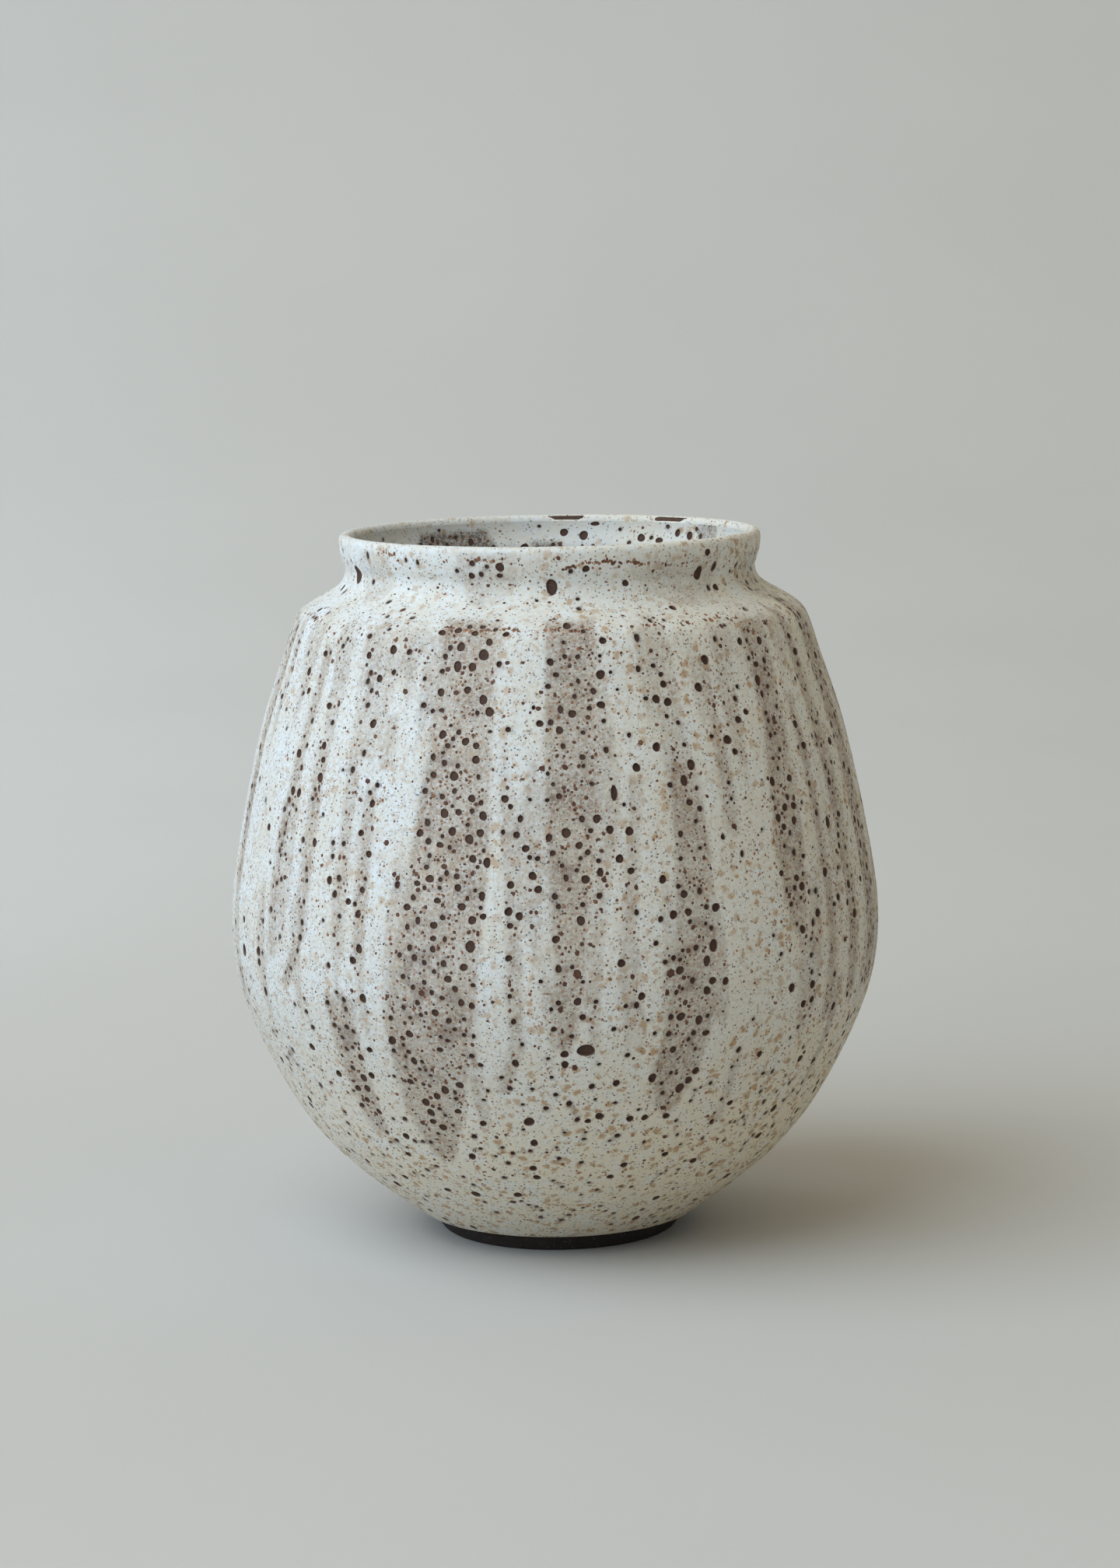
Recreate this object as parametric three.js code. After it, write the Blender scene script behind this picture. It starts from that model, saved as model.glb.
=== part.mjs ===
// A wheel-thrown globular stoneware vase: full belly, sloping shoulder, short neck and flared round lip.
// It is four solids: the clay body, the bare turned foot ring, the outer glaze coat and the liner glaze.
// Millimetres, +Z up. The origin is on the pot's axis, on the plane that the foot stands on.
import * as THREE from "three";

// Outside of the glazed pot.
const HEIGHT = 165;
const BELLY_RADIUS = 76;
const BELLY_HEIGHT = 74;
const NECK_RADIUS = 47.6;
const NECK_HEIGHT = 11.3; // from where the slope of the shoulder would meet the neck, up to the rim
const SHOULDER_WIDTH = 11.6; // the slope of the shoulder, from the neck out to where it would meet the wall
const SHOULDER_DROP = 6.7; // and from the neck down to there
const LIP_FLARE = 1.4; // how far the lip stands out past the neck
const LIP_FLARE_DROP = 4.8; // from the rim down to where the flare would meet the side of the lip
const LIP_THICKNESS = 3;

// How far each rounded corner reaches along the lines that meet in it.
const SHOULDER_ROUND = 2.8;
const NECK_ROUND = 3.6;
const FLARE_ROUND = 2.6;

// Foot: a low bare ring whose wall leans inwards to the surface that it stands on.
const FOOT_RADIUS = 27.5;
const FOOT_LEAN = 2.7;
const FOOT_HEIGHT = 3.6;
const FOOT_RING_WIDTH = 6.5;
const FOOT_EDGE_ROUND = 0.6;

// The lower edge of the outer glaze, out and up from the top edge of the foot ring.
const GLAZE_LINE_OUT = 1.6;
const GLAZE_LINE_UP = 0.4;

// Thicknesses. The wall's are measured right through, with the glaze on both faces.
const BELLY_WALL = 6;
const NECK_WALL = 3.4;
const FLOOR_THICKNESS = 7;
const OUTER_GLAZE = 0.8;
const LINER_GLAZE = 0.6;
const LIP_GLAZE = 0.5;
const BOND_GAP = 0.1; // clearance between solids that are fired together

// The bowl of the inside floor: how far its edge rises, and how flat it is (0 a cone, 1 a flat disc).
const BOWL_RISE = 8;
const BOWL_FLATNESS = 0.55;

// Fullness of the wall between two named rings: [share of the height, share of the radius] gained.
const LOWER_SWELL = [[0.157, 0.326], [0.329, 0.593], [0.557, 0.81], [0.786, 0.957]];
const UPPER_SWELL = [[0.24, 0.11], [0.48, 0.314], [0.69, 0.548], [0.87, 0.81]];

const SEGMENTS = 40; // facets round the pot
const ROUND_STEPS = 2; // facets along each rounded corner
const LIP_STEPS = 4; // facets over the lip
const BOWL_STEPS = 4; // facets from the bowl's edge to its centre
const LEAST_STEP = 0.01; // nearer points than this are one point
const ROUND_SHARE = 0.8; // the most of a straight line that the round at its end may take

const point = (radius, height) => new THREE.Vector2(radius, height);

const lipRadius = NECK_RADIUS + LIP_FLARE;
const lipCentre = point(lipRadius - LIP_THICKNESS / 2, HEIGHT - LIP_THICKNESS / 2);
const neckBase = point(NECK_RADIUS, HEIGHT - NECK_HEIGHT);
const shoulder = point(NECK_RADIUS + SHOULDER_WIDTH, neckBase.y - SHOULDER_DROP);
const footTop = point(FOOT_RADIUS + FOOT_LEAN, FOOT_HEIGHT);
const glazeLine = point(footTop.x + GLAZE_LINE_OUT, footTop.y + GLAZE_LINE_UP);
const underside = footTop.y + BOND_GAP; // of the clay body
const floorHeight = underside + FLOOR_THICKNESS; // of the liner, at the middle

// The rings of one stretch of wall, its two ends left out.
function wallRings(start, end, swell) {
  const span = end.clone().sub(start);
  return swell.map(([rise, gain]) => point(start.x + span.x * gain, start.y + span.y * rise));
}

// The outside of the pot with its corners still sharp, from the glaze line up to the side of the lip.
function sharpOutline() {
  const belly = point(BELLY_RADIUS, BELLY_HEIGHT);
  const wall = [
    glazeLine,
    ...wallRings(glazeLine, belly, LOWER_SWELL),
    belly,
    ...wallRings(belly, shoulder, UPPER_SWELL),
  ];
  return [
    ...wall.map((at) => ({ at })),
    { at: shoulder, round: SHOULDER_ROUND },
    { at: neckBase, round: NECK_ROUND },
    { at: point(NECK_RADIUS, neckBase.y + NECK_ROUND) },
    { at: point(lipRadius, HEIGHT - LIP_FLARE_DROP), round: FLARE_ROUND },
    { at: point(lipRadius, lipCentre.y) },
  ];
}

// Unit normal on the left of the way from one point to another: into the wall, on the outline.
function leftNormal(from, to) {
  const along = to.clone().sub(from).normalize();
  return point(-along.y, along.x);
}

// The outline moved into the wall by a depth that depends on the height, with its corners kept sharp.
function inset(outline, depthAt) {
  const last = outline.length - 1;
  return outline.map(({ at, round }, i) => {
    const before = leftNormal(outline[Math.max(i - 1, 0)].at, outline[Math.max(i, 1)].at);
    const after = leftNormal(outline[Math.min(i, last - 1)].at, outline[Math.min(i + 1, last)].at);
    const mitre = before.clone().add(after).divideScalar(1 + before.dot(after));
    return { at: at.clone().addScaledVector(mitre, depthAt(at.y)), round };
  });
}

// A point at a distance from one point on the way to another, or as far along as a round may reach.
function towards(start, end, distance) {
  const way = end.clone().sub(start);
  return start.clone().add(way.setLength(Math.min(distance, ROUND_SHARE * way.length())));
}

// The outline's points, with a curve in place of each corner that has a round.
function rounded(outline) {
  return outline.flatMap(({ at, round }, i) => {
    if (!round) return [at];
    const from = towards(at, outline[i - 1].at, round);
    const to = towards(at, outline[i + 1].at, round);
    return new THREE.QuadraticBezierCurve(from, at, to).getPoints(ROUND_STEPS);
  });
}

// A line without the points that repeat the one before.
function distinct(line) {
  return line.filter((p, i) => i === 0 || p.distanceTo(line[i - 1]) > LEAST_STEP);
}

// A value that is `below` up to the shoulder and runs smoothly to `above` at the side of the lip.
function easedToLip(height, below, above) {
  const share = THREE.MathUtils.smoothstep(height, shoulder.y, lipCentre.y);
  return THREE.MathUtils.lerp(below, above, share);
}

// The wall's whole thickness: full up to the shoulder, thinner in the neck and the lip's own at the lip.
function wallThickness(height) {
  const share = THREE.MathUtils.smoothstep(height, shoulder.y, neckBase.y);
  return easedToLip(height, THREE.MathUtils.lerp(BELLY_WALL, NECK_WALL, share), LIP_THICKNESS);
}

const outerGlazeDepth = (height) => easedToLip(height, OUTER_GLAZE, LIP_GLAZE);
const linerDepth = (height) => easedToLip(height, LINER_GLAZE, LIP_GLAZE);

const outline = sharpOutline();
const bowlEdge = inset(outline, wallThickness).findIndex(({ at }) => at.y > floorHeight + BOWL_RISE);

// The half-round over the lip, from its outer side to its inner side, at a depth under the glaze.
function lipArc(depth) {
  const radius = LIP_THICKNESS / 2 - depth;
  return new THREE.Path().absarc(lipCentre.x, lipCentre.y, radius, 0, Math.PI).getPoints(LIP_STEPS);
}

// The outside of the wall, upwards, at a depth under the surface of the glaze.
function outerFace(depthAt) {
  return distinct(rounded(inset(outline, depthAt)).slice(0, -1));
}

// The inside of the pot, from the lip down the wall to the middle of the floor, at a depth under the liner.
function innerFace(depthAt) {
  const wall = rounded(inset(outline, (height) => wallThickness(height) - depthAt(height)).slice(bowlEdge));
  const edge = wall.shift();
  wall.at(-1).y -= BOND_GAP; // the liner starts under the end of the outer coat
  const centre = point(0, floorHeight - depthAt(floorHeight));
  const bowl = new THREE.QuadraticBezierCurve(edge, point(edge.x * BOWL_FLATNESS, centre.y), centre);
  return distinct([...wall.reverse(), ...bowl.getPoints(BOWL_STEPS)]);
}

// A solid of revolution about +Z from an outline in (radius, height).
function turned(name, profile, colour, roughness) {
  const geometry = new THREE.LatheGeometry(profile, SEGMENTS);
  const material = new THREE.MeshStandardMaterial({ color: colour, roughness, metalness: 0 });
  const mesh = new THREE.Mesh(geometry, material);
  mesh.name = name;
  mesh.rotation.x = Math.PI / 2;
  return mesh;
}

// Thrown stoneware: wall, shoulder, neck, lip and floor in one, flat underneath where the foot ring joins.
function clayBody() {
  const profile = [
    point(0, underside),
    point(footTop.x, underside),
    ...outerFace(outerGlazeDepth),
    ...lipArc(LIP_GLAZE),
    ...innerFace(linerDepth),
  ];
  return turned("clay_body", profile, "#3a2e29", 0.9);
}

// The ring that the pot stands on, with the hollow of the foot inside it.
function footRing() {
  const inner = FOOT_RADIUS - FOOT_RING_WIDTH;
  const edge = point(FOOT_RADIUS, 0);
  const round = new THREE.QuadraticBezierCurve(
    towards(edge, point(0, 0), FOOT_EDGE_ROUND),
    edge,
    towards(edge, footTop, FOOT_EDGE_ROUND),
  );
  const profile = [point(inner, 0), ...round.getPoints(ROUND_STEPS), footTop, point(inner, footTop.y), point(inner, 0)];
  return turned("foot_ring", profile, "#1f1a18", 0.9);
}

// The matt white glaze outside, from its line above the foot over the lip to the lip's inner side.
function outerGlaze() {
  const face = [...outerFace(() => 0), ...lipArc(0)];
  const bonded = [...outerFace((height) => outerGlazeDepth(height) - BOND_GAP), ...lipArc(LIP_GLAZE - BOND_GAP)];
  return turned("outer_glaze", [...face, ...bonded.reverse(), face[0]], "#d9dad5", 0.7);
}

// The liner glaze, from just inside the lip to the middle of the floor.
function innerGlaze() {
  const face = innerFace(() => 0);
  const bonded = innerFace((height) => linerDepth(height) - BOND_GAP);
  return turned("inner_glaze", [...bonded.reverse(), ...face], "#cfd4d8", 0.65);
}

const vase = new THREE.Group();
vase.add(clayBody(), footRing(), outerGlaze(), innerGlaze());

export default vase;
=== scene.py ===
"""Builds the finished look of a wheel-thrown stoneware vase round its turned solids.

The pieces are the dark clay body, its bare foot, the white glaze coat with its thin runs and pin holes,
the liner inside, and the iron specks that the clay has burnt through the glaze.
Meshes are in metres. The glaze is worked out in millimetres, on a flat map of the turned wall.
"""

import math

import bpy
import numpy as np
from bpy.props import FloatProperty, FloatVectorProperty, IntProperty, PointerProperty
from bpy.types import Operator, Panel, PropertyGroup
from mathutils import Matrix, Vector, noise
from mathutils.geometry import delaunay_2d_cdt


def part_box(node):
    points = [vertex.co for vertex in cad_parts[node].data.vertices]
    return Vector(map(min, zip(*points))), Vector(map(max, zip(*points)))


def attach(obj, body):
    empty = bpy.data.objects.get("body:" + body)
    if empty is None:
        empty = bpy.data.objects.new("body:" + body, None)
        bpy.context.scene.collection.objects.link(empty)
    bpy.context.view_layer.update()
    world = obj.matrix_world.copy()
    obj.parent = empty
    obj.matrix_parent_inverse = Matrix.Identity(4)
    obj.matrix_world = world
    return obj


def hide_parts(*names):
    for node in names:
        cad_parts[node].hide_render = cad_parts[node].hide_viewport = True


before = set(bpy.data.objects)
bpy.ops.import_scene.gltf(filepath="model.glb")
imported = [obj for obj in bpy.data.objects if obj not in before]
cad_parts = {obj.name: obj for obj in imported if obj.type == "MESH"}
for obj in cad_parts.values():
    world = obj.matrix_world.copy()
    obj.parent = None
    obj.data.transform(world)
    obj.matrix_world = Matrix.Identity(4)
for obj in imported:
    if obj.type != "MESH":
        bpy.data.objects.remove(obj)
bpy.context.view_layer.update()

bl_info = {
    "name": "Stoneware Vase",
    "version": (1, 0, 0),
    "blender": (4, 5, 0),
    "location": "3D View > Sidebar > Vase",
    "description": "Clay, glaze, liner and iron specks of a wheel-thrown stoneware vase",
    "category": "Add Mesh",
}

MM = 0.001
TURN = 2 * math.pi
FAR_FROM_RUNS = -8.0

# Runs of thin glaze down the wall, in millimetres and degrees.
# Azimuth 0 is the front, and it grows to the right.
# The number before the rows is how strongly the run shows, as its greatest depth in from the edge.
# The rows, from the top down, are (height, azimuth of the left edge, azimuth of the right edge).
RUNS = (
    (4.0, (149, -24, -11), (120, -24, -11), (100, -25.5, -11), (80, -28, -12), (60, -30, -14),
     (40, -30.5, -18), (27, -27, -23)),
    (4.0, (149, -1, 10), (110, -1.5, 8.5), (90, -1, 6.5), (70, 0, 5), (56, 0, 2.5)),
    (0.2, (149, 21, 25), (115, 21, 27)),
    (4.0, (118, 21.5, 27.5), (100, 21.5, 28.5), (80, 20, 28), (60, 18.5, 27.5), (50, 17, 26), (40, 19, 23)),
    (0.5, (140, 31.5, 34), (102, 32, 35)),
    (4.0, (147, 45, 54), (130, 46, 52), (120, 44, 51), (100, 42.5, 50), (85, 43, 49), (78, 44.5, 47.5)),
    (1.0, (130, 54, 56.5), (90, 54, 57), (56, 54, 57)),
    (4.0, (148, 60.5, 64.5), (100, 61, 65), (60, 61.5, 65.5)),
    (4.0, (150, 70, 78), (60, 70.5, 77)),
    (0.4, (115, 14, 16.2), (68, 10, 12)),
    (0.6, (97, -8, -5.5), (57, -8, -5.5), (46, -11, -9)),
    (0.5, (148, -41, -38), (75, -41, -38)),
    (3.0, (66, -43, -36), (33, -42, -37)),
    (1.0, (112, -36.5, -33.5), (75, -36, -33.5)),
    (1.0, (121, -50.5, -47), (80, -50, -47), (66, -55, -52.5)),
    (1.0, (142, -56, -53), (120, -57, -54), (100, -59, -56), (72, -59, -56)),
    (0.4, (128, -34, -31), (117, -34, -31)),
    (2.0, (146, -80, -75), (85, -80, -75)),
    (1.0, (66, 57, 59.5), (40, 57, 59)),
    (0.5, (60, -16, -14), (38, -15, -13)),
    (0.6, (52, 33, 35), (36, 33, 34.5)),
    (0.1, (163, -25, -9), (152, -25, -9)),
    (0.0, (161, 20, 52), (151, 24, 54)),
    (0.0, (162, -62, -48), (152, -62, -46)),
    (0.1, (160, 62, 78), (150, 60, 80)),
)

# Pin holes with a place of their own: (azimuth, height, width, tallness). The rest fall at random.
PIN_HOLES = (
    (5, 57, 3.7, 0.8), (-5.5, 39.5, 2.4, 1), (8, 40.5, 1.9, 1), (14, 39.5, 1.7, 1), (17, 39.5, 1.6, 1),
    (11, 113, 1.5, 2.2), (-14, 142.5, 2.2, 1.2), (-13.5, 133, 1.9, 1.1), (35, 122.5, 2.1, 1),
    (67, 118, 2, 1), (58.8, 101, 1.7, 1.7), (44, 66.5, 2, 1), (58, 59, 2, 1), (50, 62.5, 1.6, 1),
    (4, 130, 1.9, 0.85), (10, 138, 2, 1), (46.5, 106.3, 1.8, 1), (49, 106.3, 1.7, 1), (-44.5, 47.5, 1.8, 1),
    (-36, 48.5, 1.8, 1), (-49.7, 53, 1.8, 1), (-70, 71.5, 2.7, 1), (-63, 101, 1.7, 1), (-36, 75.5, 1.7, 1),
    (-34, 99, 1.6, 1), (23, 86.5, 1.7, 1), (-16.5, 93, 1.6, 1), (-33, 33.5, 1.8, 1), (-22, 18.5, 2.2, 1),
    (-10.5, 19, 2, 1), (-49, 17.5, 2.2, 1), (51, 18, 2.2, 1), (50, 36, 2, 1), (67.5, 36.5, 2, 1),
    (-5, 24.5, 1.7, 1), (32, 26, 1.8, 1), (12, 24, 1.6, 1), (-66, 157, 3.0, 1.5), (0.5, 156, 2.5, 1.4),
    (44, 157.5, 2.4, 1.3), (50, 158.5, 1.5, 1.6), (-13, 160.5, 2, 1), (9.5, 160, 1.6, 1),
    (5.5, 159.5, 1.2, 1), (47.5, 154, 1.3, 1.2), (-20.5, 161.3, 1.4, 1.1), (-16.5, 160.6, 1.1, 1),
    (-13.2, 158.6, 1.4, 1), (-25, 159.6, 1.1, 1), (-41, 161.5, 1.0, 1.2), (-37, 161.1, 1.0, 1.4),
    (-24, 147.0, 1.8, 0.8), (-16.5, 147.1, 1.6, 1), (-9.5, 146.8, 1.6, 0.8), (175, 164.75, 6.0, 0.16),
    (141, 164.75, 6.4, 0.15),
)

# The same inside, on the liner: the far side is at 180 degrees.
LINER_PIN_HOLES = (
    (175.6, 160.8, 1.9, 1), (169.5, 160.0, 2.2, 1), (166, 162.9, 2.2, 0.45), (150.6, 159.6, 2.0, 1),
    (144, 159.2, 2.0, 0.8), (137.5, 161.2, 1.5, 1.3), (132.4, 160.7, 1.8, 1.2), (141.5, 162.6, 1.2, 1),
    (129.7, 162.4, 1.2, 1), (115, 160.5, 1.3, 1), (-172, 157.6, 2.0, 0.7), (-150, 160.4, 1.1, 1),
    (-120, 161.5, 0.9, 1), (158, 161.6, 1.0, 1),
)
LINER_RUNS = (
    (4.0, (161.0, -161, -137), (156.0, -165, -132), (150, -158, -140)),
    (0.3, (163, 120, 128), (150, 118, 130)),
    (0.8, (158, 176, 186), (120, 174, 184)),
    (0.8, (150, 90, 101), (60, 92, 100)),
    (0.8, (150, 22, 34), (80, 20, 30)),
    (0.8, (146, -60, -48), (70, -58, -50)),
    (0.8, (152, -98, -90), (90, -97, -88)),
)

# Dark lines where the glaze broke over an edge:
# (height at the left end, height at the right end, azimuth from, azimuth to, how dense).
BROKEN_LINES = (
    (147.9, 147.7, -24, -6.5, 1.0), (147.8, 147.8, -1.5, 10, 1.0), (148.0, 147.8, 20.5, 26, 0.7),
    (147.9, 148.2, 28, 47, 0.35), (162.3, 161.9, -22, -14.5, 1.3), (162.6, 162.7, -52, -44, 0.5),
    (160.2, 161.8, 3, 15, 0.8), (161.6, 160.6, 15, 26, 0.7), (160.6, 159.8, 24, 40, 0.3),
    (148.0, 147.4, -78, -62, 0.4),
)


# ---------------------------------------------------------------- sizes and colours

def number(name, description, default, **more):
    return FloatProperty(name=name, description=description, default=default, **more)


def length(name, description, default):
    return number(name, description, default, min=0, unit="LENGTH", subtype="DISTANCE", precision=5)


def share(name, description, default):
    return number(name, description, default, min=0, max=1, subtype="FACTOR")


def vector(name, description, default, **more):
    return FloatVectorProperty(name=name, description=description, default=default, size=3, **more)


def colour(name, description, red, green, blue):
    """A colour property from red, green and blue of 0 to 255, as a paint card gives them."""
    linear = [
        c / 255 / 12.92 if c <= 10 else ((c / 255 + 0.055) / 1.055) ** 2.4 for c in (red, green, blue)
    ]
    return vector(name, description, linear, min=0, max=1, subtype="COLOR")


class VASE_PG_clay(PropertyGroup):
    """Sizes and colours of the thrown clay and its foot."""

    facets: IntProperty(
        name="Facets Round", description="Facets round each turned piece", default=160, min=24, max=512
    )
    under_glaze: length("Under the Glaze", "How deep the clay lies under the outside of the glaze", 0.00055)
    under_lip: length("Under the Lip Glaze", "The same at the lip, where the glaze is thin", 0.0003)
    throwing_depth: length(
        "Throwing Marks", "Depth of the marks that the fingers left on the clay", 0.00003
    )
    turning_depth: length(
        "Turning Marks", "Depth of the marks that the turning tool left on the foot", 0.00009
    )
    mark_spacing: length("Mark Spacing", "Height between two marks", 0.0011)
    foot_round: length("Foot Edge Round", "Round of the edges that the foot stands on", 0.0007)
    body_colour: colour("Clay", "Clay in the pin holes", 88, 66, 57)
    pale_colour: colour("Pale Grit", "Grit in the clay", 120, 104, 94)
    foot_colour: colour("Foot Clay", "Bare clay of the foot", 50, 43, 40)


class VASE_PG_glaze(PropertyGroup):
    """Sizes of the glaze coat and the liner, and of what broke through them."""

    run_depth: length("Run Depth", "How far a run of thin glaze lies under the coat beside it", 0.0003)
    run_edge: length("Run Edge", "Width of the soft edge of a run", 0.0028)
    unevenness: length("Unevenness", "Small swells in the thickness of the coat", 0.00007)
    mesh_coarse: length("Coarse Facets", "Size of the facets on smooth glaze", 0.003)
    mesh_fine: length("Fine Facets", "Size of the facets along the edge of a run", 0.0015)
    end_round: length("Edge Roll", "Height of the rolled edge at the foot", 0.0012)
    hole_floor: length("Hole Floor", "How far a pin hole reaches past the face of the clay", 0.00012)
    hole_rim: length("Hole Rim", "How far the lip of a pin hole stands up", 0.00003)
    hole_least: length("Smallest Hole", "Width of the smallest pin hole", 0.0009)
    hole_most: length("Largest Hole", "Width of the largest pin hole that falls at random", 0.0021)
    holes_in_runs: number("Holes in Runs", "Pin holes on a square centimetre of a run", 9.5, min=0)
    holes_elsewhere: number("Holes Elsewhere", "Pin holes on a square centimetre of full glaze", 0.9, min=0)
    specks_in_runs: number("Specks in Runs", "Iron specks on a square centimetre of a run", 38.0, min=0)
    specks_elsewhere: number(
        "Specks Elsewhere", "Iron specks on a square centimetre of full glaze", 12.0, min=0
    )
    speck_width: length("Speck Width", "Width of a middling iron speck", 0.00066)
    speck_rise: length("Speck Rise", "How far a speck stands out of the glaze", 0.00003)
    seed: IntProperty(
        name="Firing",
        description="Another number is another firing: the random holes, specks and runs move",
        default=7,
        min=0,
    )


class VASE_PG_finish(PropertyGroup):
    """Colours and grain of the glazes."""

    white: colour("Cool White", "Full glaze, at its coolest", 222, 229, 234)
    cream: colour("Cream White", "Full glaze, at its warmest", 216, 213, 204)
    # Painted shade: a warm tint of the glaze low down and on the right side, away from the light on the left.
    toasted: colour(
        "Toasted White", "Full glaze low down and on the side that faced the flame", 222, 211, 186
    )
    thin: colour("Thin Glaze", "Glaze in a run, with the clay showing through", 176, 165, 151)
    thin_dark: colour("Thinnest Glaze", "The darkest of a run", 144, 126, 109)
    tan: colour("Tan Freckle", "Soft freckles of iron under the glaze", 184, 154, 120)
    stain: colour("Rust Stain", "Small rust stains under the glaze", 152, 114, 84)
    bare_liner: colour("Thin Liner", "Liner where it hardly covers the clay", 94, 78, 66)
    bare_liner_dark: colour("Thinnest Liner", "The darkest of such a place", 68, 54, 46)
    pore: colour("Pore", "Fine open pores", 84, 84, 90)
    edge: colour("Hole Edge", "Glaze on the edge of a pin hole", 96, 70, 56)
    speck_dark: colour("Dark Speck", "Iron speck that burnt through", 84, 56, 46)
    speck_red: colour("Red Speck", "Iron speck that only stained the glaze", 164, 118, 88)
    liner_white: colour("Liner White", "Liner glaze, at its coolest", 212, 218, 224)
    glaze_roughness: share("Glaze Roughness", "Roughness of the outer glaze", 0.62)
    liner_roughness: share("Liner Roughness", "Roughness of the liner", 0.55)
    clay_roughness: share("Clay Roughness", "Roughness of bare clay", 0.9)


class VASE_PG_stage(PropertyGroup):
    """Floor, light and camera."""

    floor_radius: length("Floor Radius", "Radius of the flat of the floor", 0.6)
    cove_length: length("Cove Length", "Length of the slow curve from floor to wall", 3.2)
    wall_height: length("Wall Height", "Height of the top of the wall", 2.4)
    floor_colour: colour("Floor", "Floor and wall", 200, 199, 197)
    window_power: number("Window", "Power of the big light on the left", 41.5, min=0, unit="POWER")
    window_colour: colour("Window Light", "Colour of the light on the left", 222, 239, 255)
    window_size: length("Window Size", "Width and height of the light", 2.1)
    window_at: vector("Window Place", "Where the light stands", (-1.12, -0.75, 1.35), subtype="TRANSLATION")
    wall_power: number(
        "Wall Light", "Power of the light that only reaches the wall behind", 15, min=0, unit="POWER"
    )
    wall_light_at: vector(
        "Wall Light Place", "Where that light stands", (-1.1, 1.2, 1.0), subtype="TRANSLATION"
    )
    room_strength: number("Room Light", "Strength of the light from all round", 0.51, min=0)
    room_colour: colour("Room Colour", "Colour of the light from all round", 255, 236, 192)
    camera_distance: length("Camera Distance", "From the pot's axis, along the floor", 0.9)
    camera_height: length("Camera Height", "Above the floor", 0.2357)
    camera_aside: number("Camera Aside", "How far to the right of the axis", 0.0016, unit="LENGTH")
    camera_tilt: number("Camera Tilt", "How far the camera looks down", math.radians(8.25), subtype="ANGLE")
    camera_roll: number(
        "Camera Roll", "How far the camera leans to the right", math.radians(0.85), subtype="ANGLE"
    )
    camera_lens: number("Lens", "Focal length in millimetres, for a 36 mm long side", 88.9, min=1)


class VASE_PG_settings(PropertyGroup):
    """All settings of the vase."""

    clay: PointerProperty(type=VASE_PG_clay)
    glaze: PointerProperty(type=VASE_PG_glaze)
    finish: PointerProperty(type=VASE_PG_finish)
    stage: PointerProperty(type=VASE_PG_stage)


# ---------------------------------------------------------------- outlines

def smooth(value, low, high):
    """0 below low, 1 above high and a soft step between them."""
    t = np.clip((np.asarray(value, float) - low) / (high - low), 0, 1)
    return t * t * (3 - 2 * t)


def mix(a, b, t):
    return a + (b - a) * t


def turned_outline(node):
    """The outline (radius, height) of a turned solid in millimetres.
    It is walked along the edges in the half plane through +X, from the lowest point."""
    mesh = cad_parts[node].data
    places = np.array([v.co for v in mesh.vertices]) / MM
    key = [
        (round(x, 2), round(z, 2)) if abs(y) < 0.01 and x > -0.01 else None for x, y, z in places.tolist()
    ]
    beside = {}
    for edge in mesh.edges:
        a, b = (key[i] for i in edge.vertices)
        if a and b and a != b:
            beside.setdefault(a, set()).add(b)
            beside.setdefault(b, set()).add(a)
    ends = [p for p in beside if len(beside[p]) == 1]
    at = min(ends or beside, key=lambda p: (p[1], -p[0]))
    line = [at]
    while True:
        ahead = sorted(beside[at] - set(line), key=lambda p: -p[0])
        if not ahead:
            break
        at = ahead[0]
        line.append(at)
    if len(line) != len(beside):
        raise RuntimeError(f"the outline of {node} is broken: {len(line)} of {len(beside)} points")
    return np.array(line)


def glazed_faces():
    """The glaze's outside from the foot up over the lip, and the liner's down to the middle of the floor."""
    loop = turned_outline("outer_glaze")
    crest = int(loop[:, 1].argmax())
    end = crest + 1
    while loop[end + 1, 0] < loop[end, 0]:
        end += 1
    liner = turned_outline("inner_glaze")[::-1]
    top = int(liner[:, 1].argmax())
    outside, inside = loop[: end + 1], liner[: top + 1][::-1]
    return outside, np.vstack([outside[-1], inside[1:]])


def spline(points, step):
    """A smooth line through the points, as points a step apart."""
    chord = np.concatenate([[0], np.cumsum(np.hypot(*np.diff(points, axis=0).T))])
    gap = np.diff(chord)
    count = len(points)
    matrix, right = np.zeros((count, count)), np.zeros((count, 2))
    matrix[0, 0] = matrix[-1, -1] = 1
    for i in range(1, count - 1):
        matrix[i, i - 1 : i + 2] = gap[i - 1], 2 * (gap[i - 1] + gap[i]), gap[i]
        right[i] = 6 * ((points[i + 1] - points[i]) / gap[i] - (points[i] - points[i - 1]) / gap[i - 1])
    bend = np.linalg.solve(matrix, right)
    run = np.linspace(0, chord[-1], int(chord[-1] / step) + 1)
    k = np.clip(np.searchsorted(chord, run, "right") - 1, 0, count - 2)
    h, a, b = gap[k][:, None], (chord[k + 1] - run)[:, None], (run - chord[k])[:, None]
    return (
        (bend[k] * a**3 + bend[k + 1] * b**3) / (6 * h)
        + (points[k] / h - bend[k] * h / 6) * a
        + (points[k + 1] / h - bend[k + 1] * h / 6) * b
    )


def joined(groups):
    """The arrays of several groups, each joined to its likes in the other groups."""
    return [np.concatenate(alike) for alike in zip(*groups)]


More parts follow.
